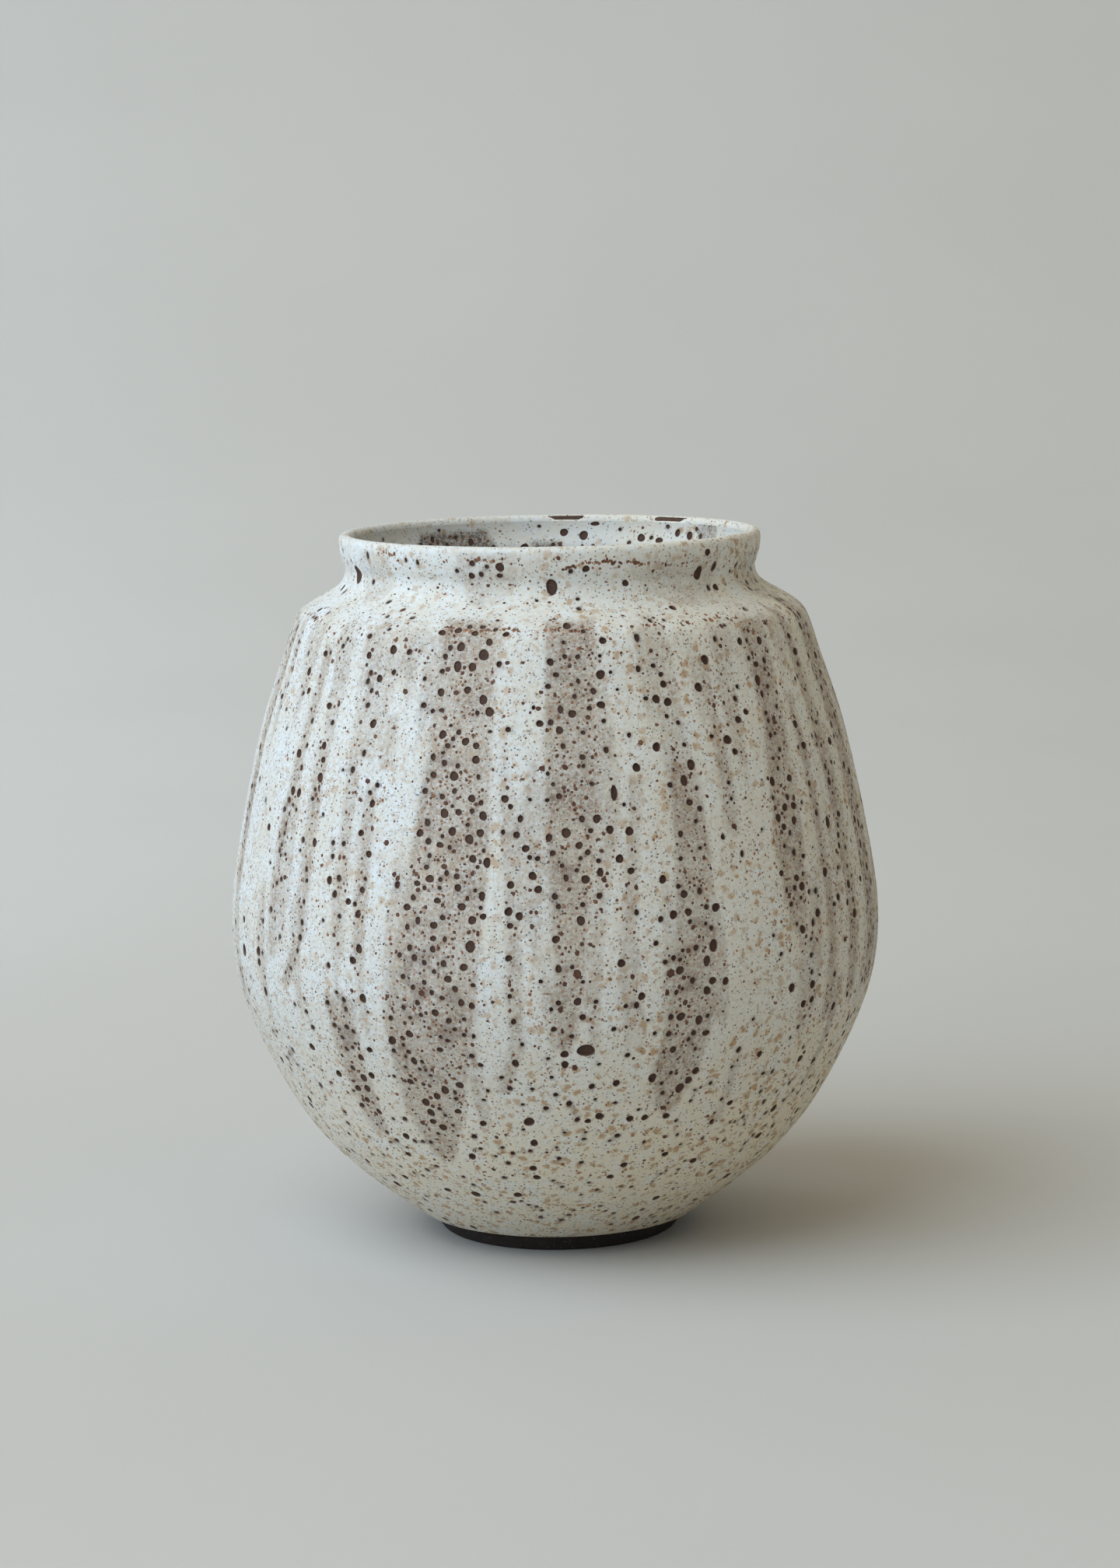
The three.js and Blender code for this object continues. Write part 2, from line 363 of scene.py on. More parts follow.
class Face:
    """A turned face of the pot, and its flat map: azimuth across and q up. A small circle stays a circle in it.
    The air is on the right of the way along the outline."""

    def __init__(self, outline, least_radius=0):
        line = spline(outline, 0.1)
        line = line[line[:, 0] >= least_radius]
        step = np.gradient(line, axis=0)
        size = np.hypot(*step.T)
        self.radius, self.height = line.T
        self.out = np.stack([step[:, 1], -step[:, 0]], axis=1) / size[:, None]
        self.run = np.concatenate([[0], np.cumsum(np.hypot(*np.diff(line, axis=0).T))])
        across = np.diff(self.run) / ((self.radius[1:] + self.radius[:-1]) / 2)
        self.q = np.concatenate([[0], np.cumsum(across)])
        self.rising = self.height[-1] > self.height[0]

    def value(self, name, q):
        return np.interp(q, self.q, getattr(self, name))

    def q_at_run(self, run):
        return float(np.interp(run, self.run, self.q))

    def q_at_height(self, height):
        """Where the face first reaches a height, on its way to the crest or down from the lip."""
        passed = self.height >= height if self.rising else self.height <= height
        i = int(passed.argmax()) if passed.any() else int(np.abs(self.height - height).argmin())
        return float(self.q[i])

    def outward(self, q):
        """The way out of the face, as its parts along the radius and along the height."""
        return [np.interp(q, self.q, self.out[:, i]) for i in (0, 1)]

    def place(self, azimuth, q, offset):
        """Points in metres, an offset in millimetres out from the face."""
        out_r, out_z = self.outward(q)
        radius = self.value("radius", q) + out_r * offset
        height = self.value("height", q) + out_z * offset
        return np.stack([radius * np.sin(azimuth), -radius * np.cos(azimuth), height], axis=1) * MM

    def normal(self, azimuth, q):
        out_r, out_z = self.outward(q)
        return np.stack([out_r * np.sin(azimuth), -out_r * np.cos(azimuth), out_z], axis=1)


def clay_depth(settings, height):
    """How deep the clay lies under the glaze at a height, in millimetres."""
    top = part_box("outer_glaze")[1].z / MM
    return mix(settings.under_glaze / MM, settings.under_lip / MM, smooth(height, top - 19, top - 1.5))


# ---------------------------------------------------------------- runs, holes and specks

def random_runs(rng, start, end):
    """Runs for the part of the wall from one azimuth to another, of the same kinds as those in RUNS."""
    runs, at = [], start
    while at < end - 6:
        width = rng.choice([2.5, 3.5, 5, 8, 12], p=[0.3, 0.25, 0.2, 0.15, 0.1])
        top = rng.uniform(138, 149) if width < 6 else 149
        bottom = rng.uniform(30, 95) if width > 4 else rng.uniform(50, 100)
        lean = rng.uniform(-4, 4)
        strength = 4.0 if width > 4 else rng.choice([0.4, 1.0])
        rows = []
        for t in np.linspace(0, 1, 5):
            middle = at + width / 2 + lean * t + rng.uniform(-0.6, 0.6)
            half = width / 2 * (1 - 0.35 * t) * rng.uniform(0.9, 1.1)
            rows.append((mix(top, bottom, t), middle - half, middle + half))
        runs.append((strength, *rows))
        at += width + rng.uniform(4, 10)
    return runs


def depth_in_runs(runs, azimuth, height, radius):
    """How far in from the edge of the nearest run each point lies, in millimetres: negative outside it."""
    degrees = np.degrees(azimuth)
    best = np.full(len(degrees), FAR_FROM_RUNS)
    for strength, *rows in runs:
        tall, left, right = np.array(rows, float)[::-1].T
        low, high = tall[0], tall[-1]
        middle = np.interp(height, tall, (left + right) / 2)
        half = np.interp(height, tall, (right - left) / 2) * radius * math.pi / 180
        aside = (degrees - middle + 180) % 360 - 180
        aside = np.abs(aside) * radius * math.pi / 180
        below = np.maximum(low + half - height, 0)
        inside = half - np.hypot(aside, below)
        inside = np.minimum(inside, (high - height) * 1.2 + 0.8)
        best = np.maximum(best, np.minimum(inside, strength))
    return best


def waver(face, azimuth, q, seed, size):
    """A soft unevenness from -1 to 1, with swells of about that size in millimetres."""
    places = face.place(azimuth, q, 0) / (size * MM) + np.array([seed * 1.7, 3.1, 5.3])
    return np.array([noise.noise(Vector(p)) for p in places.tolist()])


def flutes(face, azimuth, q, top):
    """Faint narrow runs close together all round the wall, as a depth in from their edges in millimetres."""
    height = face.value("height", q)
    level = height / 46 + 7.3
    places = np.stack([14 * np.sin(azimuth), 14 * np.cos(azimuth), level], axis=1)
    wave = np.array([noise.noise(Vector(p)) for p in places.tolist()])
    fade = 2.5 * smooth(height, top - 4, top + 3) + 2.5 * (1 - smooth(height, 38, 66))
    return np.minimum((wave - 0.16) * 6.5, 0.35) - fade


def azimuth_gap(a, b):
    return (a - b + math.pi) % TURN - math.pi


class Holes:
    """Pin holes on a face: azimuth, q, half width in millimetres, tallness and turn."""

    def __init__(self, face):
        self.face = face
        self.rows = np.zeros((0, 5))

    def clear(self, azimuth, q, reach, share=1.3):
        if not len(self.rows):
            return True
        scale = self.face.value("radius", q)
        away = np.hypot(azimuth_gap(self.rows[:, 0], azimuth), self.rows[:, 1] - q) * scale
        return bool(
            (away > share * (self.rows[:, 2] * np.maximum(self.rows[:, 3], 1) + reach) + 0.12).all()
        )

    def add(self, *row):
        self.rows = np.vstack([self.rows, row])


def random_places(face, rng, count, low, high):
    """Azimuths and q evenly spread over the face's area between two values of q."""
    q = np.linspace(low, high, 2000)
    weight = np.cumsum(face.value("radius", q) ** 2)
    return rng.uniform(-math.pi, math.pi, count), np.interp(rng.uniform(0, weight[-1], count), weight, q)


def area_of(face, low, high):
    q = np.linspace(low, high, 2000)
    return float((face.value("radius", q) ** 2).mean() * (high - low) * TURN)


def scatter_holes(face, listed, in_run, settings, rng, seam, edges, thinned):
    holes = Holes(face)
    for azimuth, height, width, tall in listed:
        holes.add(math.radians(azimuth), face.q_at_height(height), width / 2, tall, 0)
    low, high = (face.q_at_run(edges[0]), face.q_at_run(face.run[-1] - edges[1]))
    most = settings.holes_in_runs / 100
    count = int(area_of(face, low, high) * most)
    azimuths, qs = random_places(face, rng, count, low, high)
    inside = in_run(azimuths, qs)
    wanted = mix(settings.holes_elsewhere / 100, most, smooth(inside, -0.3, 1.1))
    wanted = wanted * thinned(face.value("height", qs))
    chance, size = rng.uniform(0, most, count), rng.beta(1.6, 2.2, count)
    tall, turn = rng.normal(1.05, 0.14, count), rng.uniform(0, TURN, count)
    for i in np.flatnonzero(chance < wanted):
        half = mix(settings.hole_least, settings.hole_most, size[i]) / 2 / MM
        if inside[i] < 0:
            half *= 0.88
        near_seam = abs(azimuth_gap(azimuths[i], seam)) * face.value("radius", qs[i]) < 3 * half + 4
        if not near_seam and holes.clear(azimuths[i], qs[i], half):
            holes.add(azimuths[i], qs[i], half, min(max(tall[i], 0.75), 1.5), turn[i])
    return holes


def hole_rings(holes, settings, rng, coat, floor):
    """Points of every hole: azimuth, q, offset and how much of the hole's edge colour each has."""
    face, found = holes.face, []
    for number, (azimuth, q, half, tall, turn) in enumerate(holes.rows):
        sides = 8 if half < 0.6 else 10 if half < 0.8 else 14 if half < 1.3 else 20
        angle = turn + np.arange(sides) * TURN / sides
        uneven = 1 + 0.06 * np.sin(2 * angle + rng.uniform(0, TURN))
        uneven += 0.04 * np.sin(3 * angle + rng.uniform(0, TURN))
        scale = half / face.value("radius", q)
        rings = [(1.5, 0.0, 0.0), (1.16, 1.0, 0.1), (1.0, -0.4, 0.75), (0.93, None, 1.0)]
        if half < 0.75:
            rings = [(1.0, 0.0, 0.5), (0.9, None, 1.0)]
        for k, (reach, rise, edge) in enumerate(rings):
            shift = 0.5 * TURN / sides if k == 0 and len(rings) == 4 else 0
            a = azimuth + np.cos(angle + shift) * uneven * reach * scale
            b = q + np.sin(angle + shift) * uneven * reach * scale * tall
            b = np.clip(b, face.q[0] + 1e-4, face.q[-1] - 1e-4)
            rise = np.nan if rise is None else rise * settings.hole_rim / MM
            rest = (np.full(sides, value) for value in (rise, edge, number if reach == 1 else -1))
            found.append((a, b, *rest))
        found.append(tuple(np.array([value]) for value in (azimuth, q, np.nan, 1.0, -1)))
    a, b, rise, edge, brink = joined(found)
    deep = np.isnan(rise)
    offset = np.where(deep, -floor(b), coat(a, b) + np.where(deep, 0, rise))
    return a, b, offset, edge, brink


def grid_points(face, settings, seam, low, high, wanted, rng):
    """A triangular grid on the flat map, finer where `wanted` asks for smaller facets, in millimetres."""
    step = settings.mesh_fine / MM / face.radius.max()
    columns = int(round(TURN / step / 8)) * 8
    step = TURN / columns
    rise = step * math.sqrt(3) / 2
    rows = int((high - low) / rise)
    j, i = np.meshgrid(np.arange(rows), np.arange(columns), indexing="ij")
    i, j = i.ravel(), j.ravel()
    azimuth, q = seam + (i + 0.5 * (j % 2)) * step, low + (j + 0.5) * rise
    target = wanted(azimuth, q) / face.value("radius", q)
    keep = np.zeros(len(i), bool)
    for level in (1, 2, 4):
        fits = (target >= step * level * 0.99) if level > 1 else np.ones(len(i), bool)
        shift = np.where(level > 1, (j // level) % 2 * level // 2, 0)
        on_level = (j % level == 0) & ((i + shift) % level == 0)
        keep = np.where(fits, on_level, keep)
    azimuth, q = azimuth[keep], q[keep]
    jitter = 0.12 * step
    return azimuth + rng.uniform(-jitter, jitter, len(q)), q + rng.uniform(-jitter, jitter, len(q))


def lip_rows(face, seam, runs_along, columns):
    """Rows of points right round the face at distances along it, each half a step from the row before."""
    rows = []
    for k, run in enumerate(runs_along):
        azimuth = seam + (np.arange(columns) + 0.5 * (k % 2)) * TURN / columns
        rows.append((azimuth, np.full(columns, face.q_at_run(run))))
    return joined(rows)


def outside_holes(holes, azimuth, q, share, room):
    """Which points are clear of the holes and of one ring of room round them."""
    keep = np.ones(len(q), bool)
    for start in range(0, len(q), 4000):
        part = slice(start, start + 4000)
        away = np.hypot(
            azimuth_gap(azimuth[part, None], holes.rows[:, 0]),
            (q[part, None] - holes.rows[:, 1]) / np.maximum(holes.rows[:, 3], 1),
        ) * holes.face.value("radius", holes.rows[:, 1])
        keep[part] = (away > holes.rows[:, 2] * share + room).all(axis=1)
    return keep


def brink_edges(brink):
    """The edges round each hole's brink, whose points follow each other."""
    edges, on = [], np.flatnonzero(brink >= 0)
    for number in np.unique(brink[on]):
        loop = on[brink[on] == number]
        edges.append(np.stack([loop, np.roll(loop, -1)], axis=1))
    return np.concatenate(edges)


def wrapped_triangles(azimuth, q, seam, brink):
    """Triangles between points on the flat map, which meets itself at the seam. No hole lies on the seam."""
    margin = 0.3
    base = np.arange(len(q))
    turned = (azimuth - seam) % TURN + seam
    before, after = turned > seam + TURN - margin, turned < seam + margin
    a = np.concatenate([turned, turned[before] - TURN, turned[after] + TURN])
    b = np.concatenate([q, q[before], q[after]])
    owner = np.concatenate([base, base[before], base[after]])
    edges = brink_edges(brink)
    kept = [edges]
    for chosen, start in ((before, len(q)), (after, len(q) + before.sum())):
        number = np.full(len(q), -1)
        number[chosen] = start + np.arange(chosen.sum())
        copied = number[edges]
        kept.append(copied[(copied >= 0).all(axis=1)])
    points = [Vector(p) for p in np.stack([a, b], axis=1).tolist()]
    _, _, faces, origin, _, _ = delaunay_2d_cdt(points, np.concatenate(kept).tolist(), [], 0, 1e-9)
    if len(origin) != len(points) or any(len(o) != 1 for o in origin):
        raise RuntimeError("two points of the glaze fall together")
    order = np.array([o[0] for o in origin])
    faces = order[np.array(faces)]
    middle = a[faces].mean(axis=1)
    start = seam + 1e-5  # so that no triangle lies evenly across it
    faces = faces[(middle >= start) & (middle < start + TURN)]
    wide = (np.roll(a[faces], 1, axis=1) - a[faces]), (np.roll(b[faces], 1, axis=1) - b[faces])
    turn = wide[0][:, 1] * wide[1][:, 2] - wide[0][:, 2] * wide[1][:, 1]
    faces[turn < 0] = faces[turn < 0][:, ::-1]
    return owner[faces]


def band(a, b):
    """Faces between two rings of points."""
    count = len(a)
    return [(a[(i + 1) % count], a[i], b[i], b[(i + 1) % count]) for i in range(count)]


def fan(ring, centre, up=True):
    """Faces from a ring of points to its centre."""
    pairs = [(ring[i], ring[(i + 1) % len(ring)]) for i in range(len(ring))]
    return [(a, b, centre) if up else (b, a, centre) for a, b in pairs]


def new_mesh(name, places, faces, attributes=()):
    mesh = bpy.data.meshes.new(name)
    mesh.from_pydata(places.tolist() if hasattr(places, "tolist") else places, [], faces)
    for attribute, values in attributes:
        made = mesh.attributes.new(attribute, "FLOAT", "POINT")
        made.data.foreach_set("value", np.asarray(values, np.float32))
    if mesh.validate(verbose=False):
        raise RuntimeError(f"{name} had faces that can't be")
    mesh.polygons.foreach_set("use_smooth", [True] * len(mesh.polygons))
    mesh.update()
    return mesh


def mark_brinks(mesh, brink):
    """Keeps an edge crisp if both its ends are on the brink of one hole, or on the same end of the coat."""
    ends = np.zeros(len(mesh.edges) * 2, int)
    mesh.edges.foreach_get("vertices", ends)
    first, second = brink[ends.reshape(-1, 2)].T
    crisp = (first == second) & (first != -1)
    mesh.attributes.new("sharp_edge", "BOOLEAN", "EDGE").data.foreach_set("value", crisp)


def check_closed(obj):
    """Raises unless the mesh is one closed skin that faces out."""
    mesh = obj.data
    mesh.calc_loop_triangles()
    corners = np.zeros(len(mesh.loop_triangles) * 3, int)
    mesh.loop_triangles.foreach_get("vertices", corners)
    tri = corners.reshape(-1, 3)
    half = np.concatenate([tri[:, [0, 1]], tri[:, [1, 2]], tri[:, [2, 0]]])
    code = half[:, 0] * len(mesh.vertices) + half[:, 1]
    back = half[:, 1] * len(mesh.vertices) + half[:, 0]
    if len(np.unique(code)) != len(code) or not np.array_equal(np.sort(code), np.sort(back)):
        raise RuntimeError(f"{obj.name} is not closed")
    co = np.array([v.co for v in mesh.vertices])
    volume = (co[tri[:, 0]] * np.cross(co[tri[:, 1]], co[tri[:, 2]])).sum() / 6
    if volume <= 0:
        raise RuntimeError(f"{obj.name} is inside out")
    print(f"{obj.name}: {len(tri)} triangles, {volume * 1e6:.1f} cm3")
    return len(tri)


def add_object(name, mesh, material):
    obj = bpy.data.objects.new(name, mesh)
    bpy.context.scene.collection.objects.link(obj)
    if material:
        mesh.materials.clear()
        mesh.materials.append(material)
    return obj


# ---------------------------------------------------------------- node helpers

def add(tree, kind, inputs=None, **settings):
    """A node with its settings. An input is a value or the socket that feeds it."""
    made = tree.nodes.new(kind)
    for name, value in settings.items():
        setattr(made, name, value)
    for name, value in (inputs or {}).items():
        if isinstance(value, bpy.types.NodeSocket):
            tree.links.new(value, made.inputs[name])
        else:
            made.inputs[name].default_value = value
    return made


def math_of(tree, operation, *values, clamp=False):
    return add(
        tree, "ShaderNodeMath", dict(enumerate(values)), operation=operation, use_clamp=clamp
    ).outputs[0]


def times(tree, a, b):
    return math_of(tree, "MULTIPLY", a, b)


def plus(tree, a, b, clamp=False):
    return math_of(tree, "ADD", a, b, clamp=clamp)


def parts_of(tree, vector):
    return add(tree, "ShaderNodeSeparateXYZ", {0: vector}).outputs


def vector_of(tree, x, y, z):
    return add(tree, "ShaderNodeCombineXYZ", {0: x, 1: y, 2: z}).outputs[0]


def attribute_of(tree, name):
    return add(tree, "ShaderNodeAttribute", attribute_name=name).outputs["Fac"]


def soft_step(tree, value, low, high, to_low=0.0, to_high=1.0):
    values = {"Value": value, "From Min": low, "From Max": high, "To Min": to_low, "To Max": to_high}
    return add(tree, "ShaderNodeMapRange", values, interpolation_type="SMOOTHSTEP").outputs[0]


def blended(tree, amount, a, b):
    """Colour a where the amount is 0 and b where it is 1."""
    inputs = {0: amount}
    for number, value in ((6, a), (7, b)):
        inputs[number] = value if isinstance(value, bpy.types.NodeSocket) else (*value, 1)
    return add(tree, "ShaderNodeMix", inputs, data_type="RGBA").outputs[2]


def noise_of(tree, vector, scale, detail=2.0, roughness=0.5):
    values = {"Vector": vector, "Scale": scale, "Detail": detail, "Roughness": roughness}
    return add(tree, "ShaderNodeTexNoise", values).outputs


def new_group(name, kind, inputs, output, output_kind):
    """An empty node group with one output. An input has a default number, or the kind of its socket."""
    tree = bpy.data.node_groups.new(name, kind)
    for label, value in inputs.items():
        socket = value if isinstance(value, str) else type(value).__name__.title()
        made = tree.interface.new_socket(label, in_out="INPUT", socket_type="NodeSocket" + socket)
        if not isinstance(value, str):
            made.default_value = value
    tree.interface.new_socket(output, in_out="OUTPUT", socket_type="NodeSocket" + output_kind)
    return tree, tree.nodes.new("NodeGroupInput").outputs, tree.nodes.new("NodeGroupOutput").inputs


def shared(make):
    """The tree that a function makes, made once."""
    return bpy.data.node_groups.get(make.__name__) or make()


def effect(tree, make, inputs):
    """The output of a shared effect, placed in a material's tree."""
    return add(tree, "ShaderNodeGroup", inputs, node_tree=shared(make)).outputs[0]


# ---------------------------------------------------------------- shared effects

def soft_mottle():
    """Soft patches from one tone to another, with a finer grain in them."""
    inputs = {"Vector": "Vector", "Patch Scale": 0.2, "Grain Scale": 1.4, "Grain": 0.5}
    tree, given, out = new_group("soft_mottle", "ShaderNodeTree", inputs, "Fac", "Float")
    patch = noise_of(tree, given["Vector"], given["Patch Scale"], 3.0)[0]
    grain = noise_of(tree, given["Vector"], given["Grain Scale"], 3.0, 0.65)[0]
    both = add(tree, "ShaderNodeMix", {0: given["Grain"], 2: patch, 3: grain}, data_type="FLOAT").outputs[0]
    tree.links.new(soft_step(tree, both, 0.36, 0.64), out["Fac"])
    return tree


def fine_pores():
    """Fine round pores, as a mask. Only some cells have one."""
    inputs = {"Vector": "Vector", "Scale": 1.0, "Size": 0.13, "Share": 0.5, "Softness": 0.06}
    tree, given, out = new_group("fine_pores", "ShaderNodeTree", inputs, "Mask", "Float")
    values = {"Vector": given["Vector"], "Scale": given["Scale"], "Randomness": 1.0}
    cells = add(tree, "ShaderNodeTexVoronoi", values, feature="F1").outputs
    drawn = add(tree, "ShaderNodeSeparateColor", {"Color": cells["Color"]}).outputs
    size = times(tree, given["Size"], plus(tree, times(tree, drawn[1], 0.9), 0.55))
    near = soft_step(tree, cells["Distance"], size, plus(tree, size, given["Softness"]), 1.0, 0.0)
    there = math_of(tree, "LESS_THAN", drawn[0], given["Share"])
    tree.links.new(times(tree, near, there), out["Mask"])
    return tree


def dry_grain():
    """A normal with a fine, dry grain, and pores sunk into it."""
    inputs = {"Vector": "Vector", "Grain Scale": 1.5, "Pores": 0.0, "Strength": 0.3, "Distance": 0.0001}
    tree, given, out = new_group("dry_grain", "ShaderNodeTree", inputs, "Normal", "Vector")
    fine = noise_of(tree, given["Vector"], given["Grain Scale"], 4.0, 0.6)[0]
    height = math_of(tree, "SUBTRACT", fine, given["Pores"])
    values = {"Strength": given["Strength"], "Distance": given["Distance"], "Height": height}
    tree.links.new(add(tree, "ShaderNodeBump", values).outputs[0], out["Normal"])
    return tree


def mottle_of(tree, place, patch_scale, grain_scale, grain):
    values = {"Vector": place, "Patch Scale": patch_scale, "Grain Scale": grain_scale, "Grain": grain}
    return effect(tree, soft_mottle, values)


def pores_of(tree, place, scale, size, chance, softness):
    values = {"Vector": place, "Scale": scale, "Size": size, "Share": chance, "Softness": softness}
    return effect(tree, fine_pores, values)


def roughen(tree, shader, place, scale, pores, strength, distance):
    """Gives a shader the dry grain."""
    values = {
        "Vector": place, "Grain Scale": scale, "Pores": pores, "Strength": strength, "Distance": distance
    }
    tree.links.new(effect(tree, dry_grain, values), shader.inputs["Normal"])


# ---------------------------------------------------------------- materials

def new_material(name, specular):
    """A material with its shader, and the place on the piece in millimetres."""
    material = bpy.data.materials.new(name)
    material.use_nodes = True
    tree = material.node_tree
    tree.nodes.clear()
    shader = add(tree, "ShaderNodeBsdfPrincipled", {"Specular IOR Level": specular})
    add(tree, "ShaderNodeOutputMaterial", {0: shader.outputs[0]})
    where = add(tree, "ShaderNodeTexCoord").outputs["Object"]
    place = add(tree, "ShaderNodeVectorMath", {0: where, 1: (1 / MM,) * 3}, operation="MULTIPLY").outputs[0]
    return material, tree, shader, place


def glaze_material(name, finish, white, thin_tones, roughness, tan_share):
    """Matt white glaze with mottling, thin brown runs, tan freckles, pores and brown hole edges."""
    material, tree, shader, place = new_material(name, 0.35)
    across, _, height = parts_of(tree, place)
    ground = blended(tree, mottle_of(tree, place, 0.11, 0.85, 0.62), white, finish.cream)
    grain = soft_step(tree, noise_of(tree, place, 1.5, 3.0, 0.7)[0], 0.48, 0.7, 0.0, 0.7)
    thick = soft_step(tree, height, 146.0, 153.0, 1.0, 0.15)
    ground = blended(tree, times(tree, grain, thick), ground, finish.thin)

    # Painted shade: a warm tint low down and on the right side, away from the light on the left. Freckles and
    # stains come in clouds, and most of all in those same places.
    low_down = soft_step(tree, height, 20.0, 75.0, 0.65, 0.0)
    painted_shade = plus(tree, soft_step(tree, across, -50.0, 60.0, 0.0, 0.45), low_down)
    clouds = soft_step(tree, noise_of(tree, place, 0.05, 2.0)[0], 0.36, 0.62, 0.1, 0.6)
    cloud = plus(tree, clouds, painted_shade, clamp=True)
    # Patches of the painted shade tint, laid low down and on the right side.
    toasted = soft_step(tree, noise_of(tree, place, 0.25, 4.0, 0.65)[0], 0.3, 0.6, 0.45, 1.0)
    ground = blended(tree, times(tree, painted_shade, toasted), ground, finish.toasted)
    values = {0: noise_of(tree, place, 0.55, 2.0)[1], 1: (2.6,) * 3, 2: place}
    warped = add(tree, "ShaderNodeVectorMath", values, operation="MULTIPLY_ADD").outputs[0]
    freckles = pores_of(tree, warped, 0.4, 0.16, tan_share, 0.32)
    ground = blended(tree, times(tree, freckles, cloud), ground, finish.tan)
    stains = pores_of(tree, warped, 0.9, 0.14, tan_share * 0.6, 0.22)
    ground = blended(tree, times(tree, stains, cloud), ground, finish.stain)

    # Runs, whose edges are ragged, with the clay showing through as a veil and as dots.
    ragged = math_of(tree, "MULTIPLY_ADD", noise_of(tree, place, 0.4, 4.0, 0.65)[0], 2.4, -1.2)
    thin = soft_step(tree, plus(tree, attribute_of(tree, "run"), ragged), -1.0, 1.3)
    uneven = soft_step(tree, noise_of(tree, place, 0.12, 3.0)[0], 0.38, 0.75)
    speckle = soft_step(tree, noise_of(tree, place, 1.3, 3.0, 0.75)[0], 0.36, 0.64, 0.4, 1.0)
    ground = blended(tree, times(tree, thin, speckle), ground, blended(tree, uneven, *thin_tones))
    dots = times(
        tree, pores_of(tree, place, 0.9, 0.2, 0.6, 0.14), soft_step(tree, thin, 0.2, 1.0, 0.12, 0.6)
    )
    ground = blended(tree, dots, ground, finish.speck_red)

    fine = pores_of(tree, place, 1.2, 0.15, 0.85, 0.1)
    ground = blended(tree, times(tree, fine, 0.75), ground, finish.pore)
    ground = blended(tree, soft_step(tree, attribute_of(tree, "hole_edge"), 0.2, 0.9), ground, finish.edge)
    tree.links.new(ground, shader.inputs["Base Color"])
    worn = soft_step(tree, noise_of(tree, place, 0.5, 3.0)[0], 0.3, 0.7, roughness - 0.07, roughness + 0.1)
    tree.links.new(worn, shader.inputs["Roughness"])
    roughen(tree, shader, place, 1.1, fine, 0.6, 0.00015)
    return material


def clay_material(name, ground_colour, grit_colour, roughness, strength):
    """Coarse dark stoneware with grit in it."""
    material, tree, shader, place = new_material(name, 0.3)
    mottle = mottle_of(tree, place, 0.3, 2.0, 0.6)
    dark = [c * 0.62 for c in ground_colour]
    grit = times(tree, pores_of(tree, place, 1.4, 0.16, 0.3, 0.1), 0.5)
    ground = blended(tree, grit, blended(tree, mottle, dark, ground_colour), grit_colour)
    tree.links.new(ground, shader.inputs["Base Color"])
    tree.links.new(
        soft_step(tree, mottle, 0.0, 1.0, roughness - 0.08, roughness), shader.inputs["Roughness"]
    )
    roughen(tree, shader, place, 1.8, 0.0, strength, 0.00025)
    return material


def speck_material(finish):
    """Iron from the clay, from red stain to dark slag."""
    material, tree, shader, place = new_material("iron_speck", 0.3)
    mottle = mottle_of(tree, place, 1.0, 3.0, 0.5)
    uneven = math_of(tree, "MULTIPLY_ADD", mottle, 0.3, -0.15)
    burnt = plus(tree, attribute_of(tree, "burn"), uneven, clamp=True)
    tree.links.new(blended(tree, burnt, finish.speck_red, finish.speck_dark), shader.inputs["Base Color"])
    tree.links.new(soft_step(tree, mottle, 0.0, 1.0, 0.6, 0.75), shader.inputs["Roughness"])
    return material


def stage_material(stage):
    """Plain pale paper."""
    material, tree, shader, place = new_material("pale_paper", 0.1)
    mottle = times(tree, mottle_of(tree, place, 0.004, 0.3, 0.1), 0.02)
    tree.links.new(blended(tree, mottle, stage.floor_colour, (0, 0, 0)), shader.inputs["Base Color"])
    shader.inputs["Roughness"].default_value = 0.9
    return material


# ---------------------------------------------------------------- geometry nodes

def end_tree(tree, given, out, geometry):
    """Makes the geometry real, gives it the material and hands it out."""
    real = add(tree, "GeometryNodeRealizeInstances", {"Geometry": geometry}).outputs[0]
    values = {"Geometry": real, "Material": given["Material"]}
    tree.links.new(add(tree, "GeometryNodeSetMaterial", values).outputs[0], out["Geometry"])
    return tree


